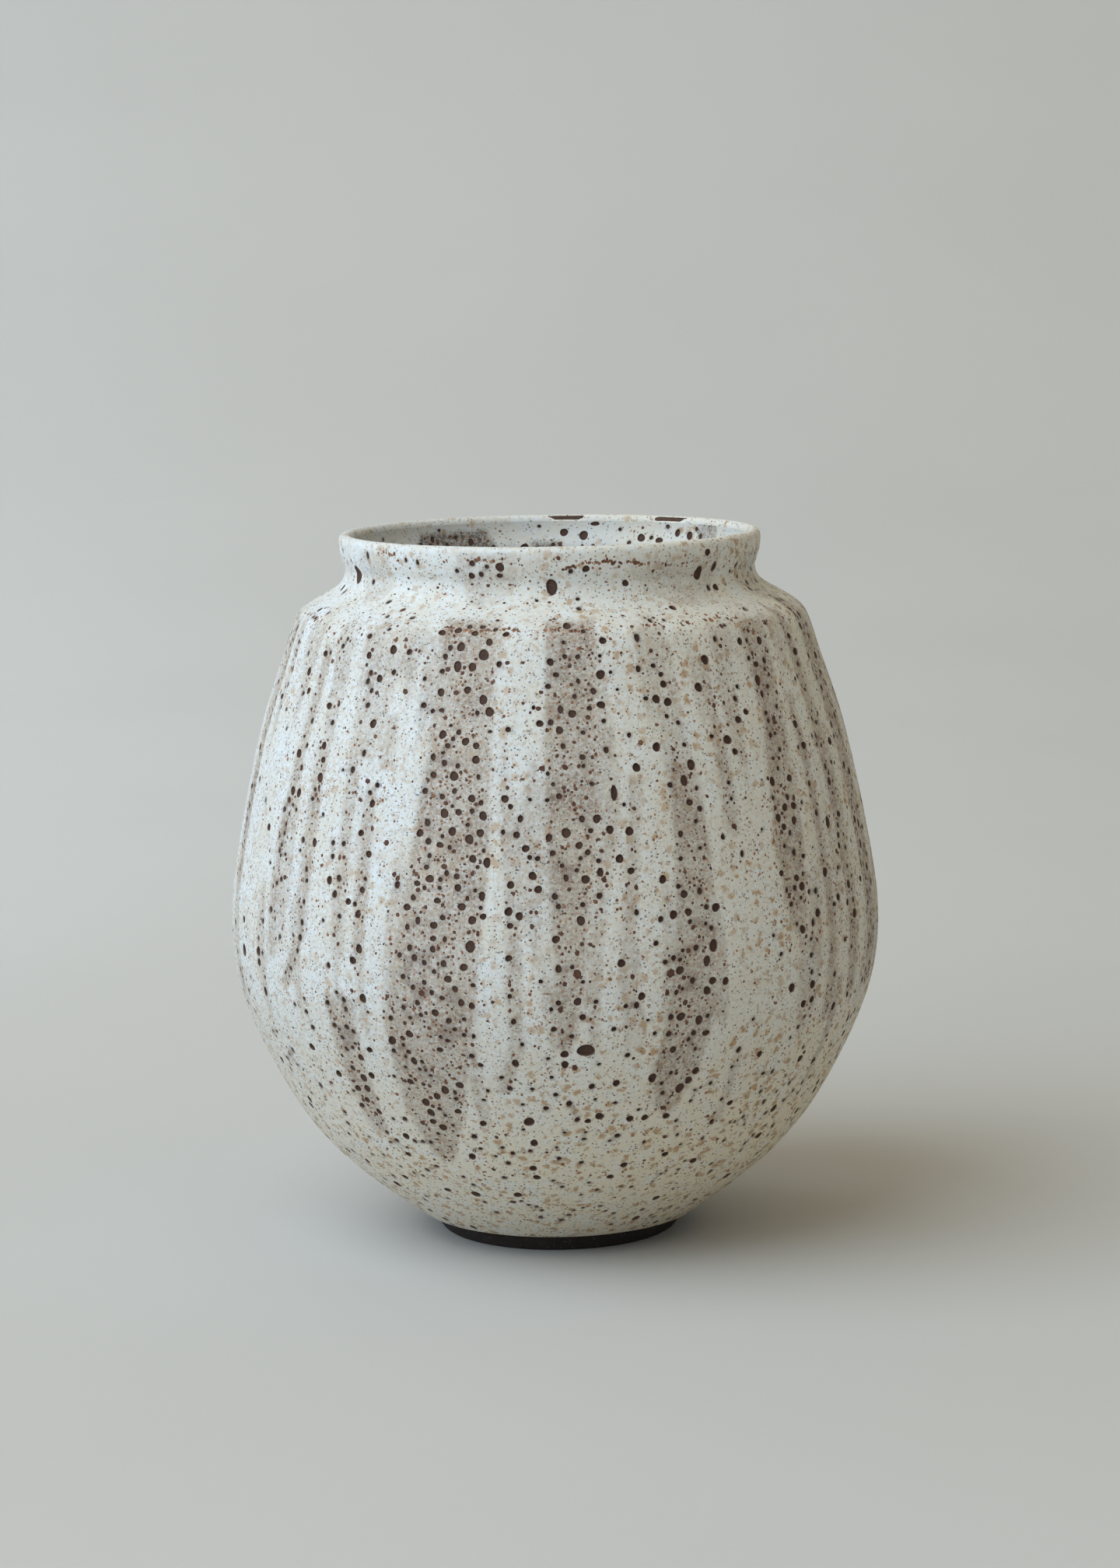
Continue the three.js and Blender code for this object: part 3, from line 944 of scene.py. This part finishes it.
def turned_on_the_wheel():
    """Turns an outline about the pot's axis: each of its points becomes a ring.
    The outline is a line in the X-Z plane, with the air on its right."""
    inputs = {
        "Outline": "Geometry", "Facets Round": 160, "Mark Depth": 0.0, "Mark Spacing": 0.001, "Seed": 0
    }
    inputs["Material"] = "Material"
    tree, given, out = new_group("turned_on_the_wheel", "GeometryNodeTree", inputs, "Geometry", "Geometry")
    counted = add(tree, "GeometryNodeAttributeDomainSize", {"Geometry": given["Outline"]}, component="MESH")
    rings, columns = counted.outputs["Point Count"], plus(tree, given["Facets Round"], 1)
    values = {"Size X": 1.0, "Size Y": 1.0, "Vertices X": columns, "Vertices Y": rings}
    grid = add(tree, "GeometryNodeMeshGrid", values).outputs["Mesh"]
    position = add(tree, "GeometryNodeInputPosition").outputs[0]
    share_round, share_along = (plus(tree, part, 0.5) for part in parts_of(tree, position)[:2])
    angle = times(tree, share_round, TURN)
    ring = math_of(tree, "ROUND", times(tree, share_along, math_of(tree, "SUBTRACT", rings, 1)))
    sampled = add(
        tree,
        "GeometryNodeSampleIndex",
        {"Geometry": given["Outline"], "Index": ring},
        data_type="FLOAT_VECTOR",
        domain="POINT",
    )
    tree.links.new(position, sampled.inputs["Value"])
    radius, _, level = parts_of(tree, sampled.outputs["Value"])

    # The marks of fingers or of the turning tool: bands that wander a little on their way round.
    band = math_of(tree, "DIVIDE", plus(tree, level, radius), given["Mark Spacing"])
    sine, cosine = (math_of(tree, kind, angle) for kind in ("SINE", "COSINE"))
    around = vector_of(tree, cosine, sine, band)
    values = {"Vector": around, "W": times(tree, given["Seed"], 3.7), "Scale": 0.5, "Detail": 1.0}
    marks = add(tree, "ShaderNodeTexNoise", values, noise_dimensions="4D").outputs[0]
    rise = times(tree, math_of(tree, "SUBTRACT", marks, 0.5), times(tree, given["Mark Depth"], 2.0))
    off_axis = soft_step(tree, radius, 0.0005, 0.004)
    radius, level = (math_of(tree, "MULTIPLY_ADD", rise, off_axis, part) for part in (radius, level))
    place = vector_of(
        tree, times(tree, radius, sine), times(tree, radius, times(tree, cosine, -1.0)), level
    )
    turned = add(tree, "GeometryNodeSetPosition", {"Geometry": grid, "Position": place}).outputs[0]
    closed = add(tree, "GeometryNodeMergeByDistance", {"Geometry": turned, "Distance": 2e-6}).outputs[0]
    smoothed = add(
        tree, "GeometryNodeSetShadeSmooth", {"Geometry": closed, "Shade Smooth": True}
    ).outputs[0]
    return end_tree(tree, given, out, smoothed)


def iron_on_the_glaze():
    """Puts a low button of iron on each point, turned to the point's normal."""
    inputs = {"Points": "Geometry", "Sides": 6, "Rise": 0.00004, "Seed": 0, "Material": "Material"}
    tree, given, out = new_group("iron_on_the_glaze", "GeometryNodeTree", inputs, "Geometry", "Geometry")
    values = {"Side Segments": 1, "Fill Segments": 1, "Radius Top": 0.0, "Radius Bottom": 0.5, "Depth": 2.0}
    values["Vertices"] = given["Sides"]
    button = add(tree, "GeometryNodeMeshCone", values, fill_type="NGON").outputs["Mesh"]
    values = {"Geometry": button, "Translation": (0.0, 0.0, -0.4)}
    sunk = add(tree, "GeometryNodeTransform", values).outputs[0]
    facing, width = (
        add(tree, "GeometryNodeInputNamedAttribute", {"Name": name}, data_type=kind).outputs[0]
        for name, kind in (("facing", "FLOAT_VECTOR"), ("width", "FLOAT"))
    )
    standing = add(tree, "FunctionNodeAlignRotationToVector", {"Vector": facing}, axis="Z").outputs[0]

    def drawn(low, high, seed):
        values = {2: low, 3: high, "Seed": seed}
        return add(tree, "FunctionNodeRandomValue", values, data_type="FLOAT").outputs[1]

    values = {"Axis": (0.0, 0.0, 1.0), "Angle": drawn(0.0, TURN, given["Seed"])}
    about = add(tree, "FunctionNodeAxisAngleToRotation", values).outputs[0]
    values = {0: standing, 1: about}
    turned = add(tree, "FunctionNodeRotateRotation", values, rotation_space="LOCAL").outputs[0]
    oval = drawn(0.75, 1.25, plus(tree, given["Seed"], 1))
    size = vector_of(tree, width, times(tree, width, oval), given["Rise"])
    values = {"Points": given["Points"], "Instance": sunk, "Rotation": turned, "Scale": size}
    return end_tree(tree, given, out, add(tree, "GeometryNodeInstanceOnPoints", values).outputs[0])


def made_by_nodes(name, mesh, tree, values, material):
    """Runs a tree on a mesh and keeps the result as a plain piece."""
    source = bpy.data.objects.new(name + "_source", mesh)
    bpy.context.scene.collection.objects.link(source)
    modifier = source.modifiers.new("nodes", "NODES")
    modifier.node_group = tree
    sockets = {s.name: s.identifier for s in tree.interface.items_tree if s.in_out == "INPUT"}
    for label, value in {**values, "Material": material}.items():
        modifier[sockets[label]] = value
    graph = bpy.context.evaluated_depsgraph_get()
    result = bpy.data.meshes.new_from_object(source.evaluated_get(graph), depsgraph=graph)
    source.modifiers.remove(modifier)
    bpy.data.objects.remove(source)
    result.name = name
    return add_object(name, result, material)


def line_mesh(name, points):
    """A line of points (radius, height) in millimetres, as a mesh for the turning tree."""
    mesh = bpy.data.meshes.new(name)
    mesh.from_pydata(
        [(r * MM, 0, z * MM) for r, z in points], [(i, i + 1) for i in range(len(points) - 1)], []
    )
    return mesh


# ---------------------------------------------------------------- pieces

def spaced(face, least, most, share=0.16):
    """Distances along a face, close together where its outline bends: a share of the bend's radius."""
    bend = np.hypot(*np.gradient(face.out, face.run, axis=0).T)
    gap = np.clip(share / np.maximum(bend, 1e-6), least, most)
    count = int((np.diff(face.run) / gap[1:]).sum()) + 2
    along = np.concatenate([[0], np.cumsum((1 / gap[1:] + 1 / gap[:-1]) / 2 * np.diff(face.run))])
    return np.interp(np.linspace(0, along[-1], count), along, face.run)


def sunk_line(face, runs_along, depth):
    """Points of a face's outline, a depth under it that depends on the height."""
    q = np.interp(runs_along, face.run, face.q)
    radius, height = face.value("radius", q), face.value("height", q)
    out_r, out_z = face.outward(q)
    under = depth(height)
    return np.stack([radius - out_r * under, height - out_z * under], axis=1)


def rounded(points, reach, steps=5):
    """A closed outline whose soft corners are cut by a curve that starts `reach` from the corner.
    A corner is (radius, height, soft or not)."""
    line = []
    for k, (radius, height, soft) in enumerate(points):
        at = np.array([radius, height])
        if not soft:
            line.append(at)
            continue
        before, after = (np.array(points[(k + d) % len(points)][:2]) - at for d in (-1, 1))
        ends = [at + w / np.hypot(*w) * min(reach, 0.45 * np.hypot(*w)) for w in (before, after)]
        for t in np.linspace(0, 1, steps):
            line.append(mix(mix(ends[0], at, t), mix(at, ends[1], t), t))
    return np.array(line)


def turned_piece(name, outline, clay, mark_depth, seed, material):
    values = {"Facets Round": clay.facets, "Mark Depth": mark_depth, "Mark Spacing": clay.mark_spacing}
    values["Seed"] = seed
    line = line_mesh(name + "_outline", outline)
    piece = made_by_nodes(name, line, shared(turned_on_the_wheel), values, material)
    check_closed(piece)
    return piece


def build_clay_body(settings):
    clay, finish = settings.clay, settings.finish
    outside, inside = (Face(line) for line in glazed_faces())
    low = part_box("clay_body")[0].z / MM
    foot_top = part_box("foot_ring")[1].x / MM
    outer = sunk_line(outside, spaced(outside, 0.25, 3.0), lambda z: clay_depth(clay, z))
    inner = sunk_line(inside, spaced(inside, 0.25, 2.0), lambda z: clay_depth(clay, z))
    inner[-1] = 0, inner[-1][1]
    outer = outer[:-1]
    flat = [(radius, low) for radius in (0, *np.linspace(4, foot_top - 1.2, 24))]
    edge = [(foot_top, low + 0.05), (foot_top + 0.7, low + 0.25)]
    outline = np.vstack([flat, edge, outer, inner])
    material = clay_material("thrown_clay", clay.body_colour, clay.pale_colour, finish.clay_roughness, 0.35)
    body = turned_piece("thrown_body", outline, clay, clay.throwing_depth, 3, material)
    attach(body, "root")
    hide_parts("clay_body")
    return body


def build_foot(settings):
    clay, finish = settings.clay, settings.finish
    ring = turned_outline("foot_ring")
    top, inner, outer_top = ring[:, 1].max(), ring[:, 0].min(), ring[:, 0].max()
    stand = ring[ring[:, 1] < 0.01, 0].max() + 0.6
    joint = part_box("clay_body")[0].z / MM
    lift = 0.6 * clay.turning_depth / MM
    soft = [(inner, lift, True), (stand, lift, True), (outer_top, top, True)]
    sunk = [(outer_top - 0.8, joint + 0.15, False), (inner + 0.6, joint + 0.15, False)]
    outline = rounded([*soft, *sunk, (inner - 0.2, top, True)], clay.foot_round / MM)
    full = []
    for a, b in zip(outline, np.roll(outline, -1, axis=0)):
        count = max(1, int(np.hypot(*(b - a)) / 0.45))
        full += [mix(a, b, t) for t in np.arange(count) / count]
    full.append(full[0])
    material = clay_material(
        "bare_foot_clay", clay.foot_colour, clay.pale_colour, finish.clay_roughness, 0.6
    )
    foot = turned_piece("turned_foot", full, clay, clay.turning_depth, 11, material)
    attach(foot, "root")
    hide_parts("foot_ring")
    return foot


class Coat:
    """One glaze: the face it lies on, its runs, its holes, and how thick it is where."""

    def __init__(self, settings, face, runs, listed, seed, seam, edges, thinned, flute_top, roll=None):
        self.settings, self.face, self.runs = settings, face, runs
        self.flute_top, self.roll = flute_top, roll
        self.seam = math.radians(seam)
        self.rng = np.random.default_rng(seed)
        self.holes = scatter_holes(
            face, listed, self.in_run, settings.glaze, self.rng, self.seam, edges, thinned
        )

    def in_run(self, azimuth, q):
        """How far in from the edge of a run, listed or one of the faint flutes between them."""
        listed = depth_in_runs(
            self.runs, azimuth, self.face.value("height", q), self.face.value("radius", q)
        )
        return np.maximum(listed, flutes(self.face, azimuth, q, self.flute_top))

    def under(self, q):
        return clay_depth(self.settings.clay, self.face.value("height", q))

    def surface(self, azimuth, q):
        """Offset of the glaze's outside from the face, in millimetres."""
        glaze = self.settings.glaze
        half = glaze.run_edge / MM / 2
        under = self.under(q)
        share = under / (self.settings.clay.under_glaze / MM)
        sunk = glaze.run_depth / MM * smooth(self.in_run(azimuth, q), -half * 0.6, half * 1.4)
        swell = glaze.unevenness / MM * waver(self.face, azimuth, q, 1, 9.0)
        offset = (swell - sunk) * share
        if self.roll:
            run = self.face.value("run", q)
            t = np.clip(1 - run / self.roll, 0, 1)
            offset = mix(-(under + 0.06), offset, np.sqrt(1 - t * t))
        return offset

    def floor(self, q):
        return self.under(q) + self.settings.glaze.hole_floor / MM

    def around(self, count):
        return self.seam + np.arange(count) * TURN / count

    def wanted_facets(self, azimuth, q):
        glaze = self.settings.glaze
        at_edge = np.abs(self.in_run(azimuth, q)) < 2.2
        return np.where(at_edge, glaze.mesh_fine, glaze.mesh_coarse) / MM

    def points_between(self, rows_along, columns):
        """Azimuths and q between the two ends and clear of the holes.
        They are the given rows, and a grid in the widest gap between two rows."""
        face = self.face
        rows = lip_rows(face, self.seam, rows_along, columns)
        marks = np.array(sorted([0, *rows_along, face.run[-1]]))
        widest = int(np.diff(marks).argmax())
        span = face.q_at_run(marks[widest] + 0.6), face.q_at_run(marks[widest + 1] - 0.6)
        grid = grid_points(face, self.settings.glaze, self.seam, *span, self.wanted_facets, self.rng)
        azimuth, q = joined([rows, grid])
        keep = outside_holes(self.holes, azimuth, q, 1.62, 0.12)
        return azimuth[keep], q[keep]

    def air_side(self, columns, end_columns, rows_along, cap):
        """The glaze's surface: its triangles, and the azimuth, q, offset, hole edge and brink of each point.
        The points of its two ends come first."""
        sides = ((columns, self.face.q[0]), (end_columns, self.face.q[-1]))
        ends = joined([(self.around(count), np.full(count, q)) for count, q in sides])
        between = self.points_between(rows_along, columns)
        *rings, ring_offset, ring_edge, ring_brink = hole_rings(
            self.holes, self.settings.glaze, self.rng, self.surface, self.floor
        )
        azimuth, q = joined([ends, between, rings])
        offset, edge = self.surface(azimuth, q), np.zeros(len(q))
        start = len(q) - len(ring_edge)
        offset[start:], edge[start:] = ring_offset, ring_edge
        marks = ((columns, -2), (end_columns, -1 if cap else -3), (len(between[0]), -1))
        brink = np.concatenate([*(np.full(count, mark) for count, mark in marks), ring_brink])
        faces = wrapped_triangles(azimuth, q, self.seam, brink).tolist()
        return faces, azimuth, q, offset, edge, brink

    def hidden_side(self, columns, gap, cap):
        """Rings of points under the face of the clay, and their depths.
        With a cap the last ring is left out."""
        face = self.face
        along = spaced(face, 0.6, gap, 0.4)
        if cap:
            along = along[:-1]
        q = np.repeat(np.interp(along, face.run, face.q), columns)
        depth = self.under(q) + 0.19 * self.under(q) / 0.55 + 0.02
        return face.place(np.tile(self.around(columns), len(along)), q, -depth), depth

    def mesh(self, name, columns, end_columns, rows_along, hidden_gap, cap):
        """The coat as one closed skin. With a cap it closes on the axis, and else at its two ends."""
        faces, azimuth, q, offset, edge, brink = self.air_side(columns, end_columns, rows_along, cap)
        hidden, depth = self.hidden_side(columns, hidden_gap, cap)
        end = range(columns, columns + end_columns)
        starts = range(len(q), len(q) + len(hidden), columns)
        lines = [range(columns), *(range(start, start + columns) for start in starts)]
        for a, b in zip(lines, [*lines[1:], *([] if cap else [end])]):
            faces += band(a, b)
        places = np.vstack([self.face.place(azimuth, q, offset), hidden])
        if cap:
            middle = self.face.height[-1]
            top = middle + offset[columns : columns + end_columns].mean()
            for level, ring, up in ((top, end, True), (middle - depth[-1], lines[-1], False)):
                faces += fan(ring, len(places), up)
                places = np.vstack([places, [[0, 0, level * MM]]])
        extra = len(places) - len(q)
        run = np.concatenate([self.in_run(azimuth, q), np.full(extra, FAR_FROM_RUNS)])
        hole_edge = np.concatenate([edge, np.zeros(extra)])
        mesh = new_mesh(name, places, faces, [("run", run), ("hole_edge", hole_edge)])
        mark_brinks(mesh, np.concatenate([brink, np.full(extra, -1)]))
        return mesh


def outer_coat(settings):
    """The outer glaze. It has fewer holes on the neck and the lip, and more on the lower belly."""
    glaze = settings.glaze
    outline = glazed_faces()[0]
    neck = outline[:, 1].max() - 16.5
    return Coat(
        settings,
        Face(outline),
        [*RUNS, *random_runs(np.random.default_rng(glaze.seed), start=84, end=276)],
        PIN_HOLES,
        seed=glaze.seed + 1,
        seam=-155,
        edges=(1.8, 6.0),
        thinned=lambda height: np.where(height > neck, 0.9, mix(4.0, 1.0, smooth(height, 30, 72))),
        flute_top=150,
        roll=glaze.end_round / MM,
    )


def liner_coat(settings):
    """The liner, which has more holes near the mouth than below. It has no flutes."""
    return Coat(
        settings,
        Face(glazed_faces()[1], least_radius=5.0),
        LINER_RUNS,
        LINER_PIN_HOLES,
        seed=settings.glaze.seed + 2,
        seam=0,
        edges=(1.2, 8.0),
        thinned=lambda height: np.where(height > 140, 1.2, 0.5),
        flute_top=-50,
    )


def build_outer_glaze(settings):
    coat = outer_coat(settings)
    face = coat.face
    roll = coat.roll * np.array([0.06, 0.2, 0.42, 0.7, 1.05])
    crest = face.run[face.height.argmax()]
    lip = *np.arange(crest - 5.5, crest - 2.2, 0.8), *np.arange(crest - 2.0, face.run[-1] - 0.2, 0.36)
    columns = settings.clay.facets
    mesh = coat.mesh("glaze_coat", columns, columns, [*roll, *lip], 9.0, False)
    finish = settings.finish
    tones = finish.thin, finish.thin_dark
    material = glaze_material("matt_white_glaze", finish, finish.white, tones, finish.glaze_roughness, 0.6)
    obj = add_object("glaze_coat", mesh, material)
    check_closed(obj)
    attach(obj, "root")
    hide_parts("outer_glaze")
    return obj


def build_liner(settings):
    coat = liner_coat(settings)
    mesh = coat.mesh("liner_coat", settings.clay.facets, 64, [0.35, 0.9], 2.0, True)
    finish = settings.finish
    tones = finish.bare_liner, finish.bare_liner_dark
    material = glaze_material("liner_glaze", finish, finish.liner_white, tones, finish.liner_roughness, 0.3)
    obj = add_object("liner_coat", mesh, material)
    check_closed(obj)
    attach(obj, "root")
    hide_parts("inner_glaze")
    return obj


def speck_points(coat, rng, low, high, share):
    """Places for specks on a coat, clear of its holes: place, facing, width and how burnt."""
    glaze, face = coat.settings.glaze, coat.face
    most = glaze.specks_in_runs / 100
    count = int(area_of(face, low, high) * most * share)
    azimuth, q = random_places(face, rng, count, low, high)
    inside = coat.in_run(azimuth, q)
    wanted = mix(glaze.specks_elsewhere / 100, most, smooth(inside, -0.1, 1.5))
    size = np.exp(rng.normal(0, 0.35, count))
    burnt = np.clip(rng.normal(0.4, 0.3, count) + 0.4 * (size - 1) + 0.4 * (inside > 0), 0, 1)
    size = np.where(inside > 0, size * 1.1, size * 0.85)
    keep = rng.uniform(0, most, count) < wanted
    azimuth, q, size, burnt = azimuth[keep], q[keep], size[keep], burnt[keep]
    clear = outside_holes(coat.holes, azimuth, q, 1.25, 0.35)
    azimuth, q, size, burnt = azimuth[clear], q[clear], size[clear], burnt[clear]
    return azimuth, q, size * glaze.speck_width, burnt


def line_points(coat, rng):
    """Specks close together along the lines where the glaze broke over an edge."""
    face, found = coat.face, []
    for left, right, start, end, dense in BROKEN_LINES:
        radius = face.value("radius", face.q_at_height((left + right) / 2))
        count = int(math.radians(end - start) * radius / 0.24 * dense)
        t = np.sort(rng.uniform(0, 1, count))
        height = mix(left, right, t) + rng.normal(0, 0.16, count) + 0.25 * np.sin(9 * t + start)
        q = np.array([face.q_at_height(z) for z in height])
        size = np.exp(rng.normal(0.0, 0.3, count))
        width, burnt = size * coat.settings.glaze.speck_width, rng.uniform(0.1, 1.0, count)
        found.append((np.radians(mix(start, end, t)), q, width, burnt))
    specks = joined(found)
    clear = outside_holes(coat.holes, *specks[:2], 1.1, 0.2)
    return [values[clear] for values in specks]


def build_specks(settings):
    rng = np.random.default_rng(settings.glaze.seed + 3)
    coat, liner = outer_coat(settings), liner_coat(settings)
    outer_span = (coat.face.q_at_run(run) for run in (2.0, coat.face.run[-1] - 5.5))
    liner_span = (liner.face.q_at_run(run) for run in (1.0, 60))
    on_outer = [speck_points(coat, rng, *outer_span, 1.0), line_points(coat, rng)]
    on_liner = [speck_points(liner, rng, *liner_span, 0.6)]
    groups = []
    for each, name, parts in ((coat, "glaze_coat", on_outer), (liner, "liner_coat", on_liner)):
        piece = bpy.data.objects[name]
        for azimuth, q, width, burnt in parts:
            wanted = each.face.place(azimuth, q, each.surface(azimuth, q))
            resting = np.array([piece.closest_point_on_mesh(Vector(p))[1] for p in wanted.tolist()])
            groups.append((resting, each.face.normal(azimuth, q), width, burnt))
    places, facing, width, burnt = joined(groups)
    mesh = new_mesh("speck_places", places, [], [("width", width), ("burn", burnt)])
    made = mesh.attributes.new("facing", "FLOAT_VECTOR", "POINT")
    made.data.foreach_set("vector", facing.astype(np.float32).ravel())
    glaze = settings.glaze
    values = {"Sides": 6, "Rise": glaze.speck_rise, "Seed": glaze.seed}
    material = speck_material(settings.finish)
    obj = made_by_nodes("iron_specks", mesh, shared(iron_on_the_glaze), values, material)
    check_closed(obj)
    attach(obj, "root")
    return obj


def floor_outline(stage, steps=64):
    """The outline (radius, height) of the floor, the cove and the wall, in metres."""
    outline = [(0.3, 0), (stage.floor_radius, 0)]
    step = stage.cove_length / steps
    for t in (np.arange(steps) + 0.5) / steps:
        lean = smooth(t, 0, 1) * math.pi / 2
        radius, height = outline[-1]
        outline.append((radius + step * math.cos(lean), height + step * math.sin(lean)))
    return [*outline, (outline[-1][0], stage.wall_height)]


def build_floor(stage, count=96):
    outline = floor_outline(stage)
    angles = [TURN * i / count for i in range(count)]
    places = [(r * math.sin(angle), -r * math.cos(angle), z) for r, z in outline for angle in angles]
    rings = [range(k * count, (k + 1) * count) for k in range(len(outline))]
    faces = [face for a, b in zip(rings, rings[1:]) for face in band(a, b)]
    faces += fan(rings[0], len(places))
    mesh = new_mesh("pale_floor", [*places, (0, 0, 0)], faces)
    floor = add_object("pale_floor", mesh, stage_material(stage))


def add_light(name, power, at, aim, stage):
    """A square light at a place, turned to its aim. The camera doesn't see it."""
    light = bpy.data.lights.new(name, "AREA")
    light.shape, light.size = "SQUARE", stage.window_size
    light.energy, light.color = power, stage.window_colour
    lamp = bpy.data.objects.new(name, light)
    bpy.context.scene.collection.objects.link(lamp)
    lamp.location = at
    lamp.rotation_mode = "QUATERNION"
    lamp.rotation_quaternion = (Vector(aim) - lamp.location).to_track_quat("-Z", "Y")
    lamp.visible_camera = False


def add_room(stage):
    """The light from all round."""
    world = bpy.data.worlds.new("room")
    world.use_nodes = True
    background = world.node_tree.nodes["Background"]
    background.inputs[0].default_value = (*stage.room_colour, 1)
    background.inputs[1].default_value = stage.room_strength
    bpy.context.scene.world = world


def add_camera(stage):
    data = bpy.data.cameras.new("camera")
    data.lens, data.sensor_width, data.clip_start = stage.camera_lens, 36, 0.01
    camera = bpy.data.objects.new("camera", data)
    bpy.context.scene.collection.objects.link(camera)
    camera.location = (stage.camera_aside, -stage.camera_distance, stage.camera_height)
    down = Matrix.Rotation(math.pi / 2 - stage.camera_tilt, 3, "X")
    camera.rotation_mode = "QUATERNION"
    camera.rotation_quaternion = (down @ Matrix.Rotation(-stage.camera_roll, 3, "Z")).to_quaternion()
    bpy.context.scene.camera = camera


def build_stage(stage):
    build_floor(stage)
    add_light("window", stage.window_power, stage.window_at, (0, 0, 0.07), stage)
    add_light("wall_light", stage.wall_power, stage.wall_light_at, (-0.4, 2.2, 0.3), stage)
    add_room(stage)
    add_camera(stage)
    bpy.context.scene.view_settings.view_transform = "Standard"


# ---------------------------------------------------------------- operators and panel

class VASE_OT_clay_body(Operator):
    """Turn the clay body"""

    bl_idname, bl_label = "vase.clay_body", "Clay Body"

    def execute(self, context):
        build_clay_body(context.scene.vase)
        return {"FINISHED"}


class VASE_OT_foot(Operator):
    """Turn the bare foot"""

    bl_idname, bl_label = "vase.foot", "Foot"

    def execute(self, context):
        build_foot(context.scene.vase)
        return {"FINISHED"}


class VASE_OT_glazes(Operator):
    """Coat the pot inside and out, with runs and pin holes"""

    bl_idname, bl_label = "vase.glazes", "Glaze and Liner"

    def execute(self, context):
        build_outer_glaze(context.scene.vase)
        build_liner(context.scene.vase)
        return {"FINISHED"}


class VASE_OT_specks(Operator):
    """Burn the iron specks through the glazes"""

    bl_idname, bl_label = "vase.specks", "Iron Specks"

    def execute(self, context):
        build_specks(context.scene.vase)
        return {"FINISHED"}


class VASE_OT_stage(Operator):
    """Set the floor, the light and the camera"""

    bl_idname, bl_label = "vase.stage", "Floor, Light and Camera"

    def execute(self, context):
        build_stage(context.scene.vase.stage)
        return {"FINISHED"}


class VASE_PT_panel(Panel):
    """Settings and steps of the vase"""

    bl_idname, bl_label = "VASE_PT_panel", "Stoneware Vase"
    bl_space_type, bl_region_type, bl_category = "VIEW_3D", "UI", "Vase"

    def draw(self, context):
        settings = context.scene.vase
        for part in ("clay", "glaze", "finish", "stage"):
            box = self.layout.box()
            box.label(text=part.title())
            group = getattr(settings, part)
            for name in group.bl_rna.properties.keys():
                if name not in ("rna_type", "name"):
                    box.prop(group, name)
        for operator in STEPS:
            self.layout.operator(operator.bl_idname)


STEPS = (VASE_OT_clay_body, VASE_OT_foot, VASE_OT_glazes, VASE_OT_specks, VASE_OT_stage)
CLASSES = (
    VASE_PG_clay, VASE_PG_glaze, VASE_PG_finish, VASE_PG_stage, VASE_PG_settings, *STEPS, VASE_PT_panel
)


def register():
    for each in CLASSES:
        bpy.utils.register_class(each)
    bpy.types.Scene.vase = PointerProperty(type=VASE_PG_settings)


def unregister():
    del bpy.types.Scene.vase
    for each in reversed(CLASSES):
        bpy.utils.unregister_class(each)


def main():
    register()
    bpy.ops.vase.clay_body()
    bpy.ops.vase.foot()
    bpy.ops.vase.glazes()
    bpy.ops.vase.specks()
    bpy.ops.vase.stage()


if __name__ == "__main__":
    main()
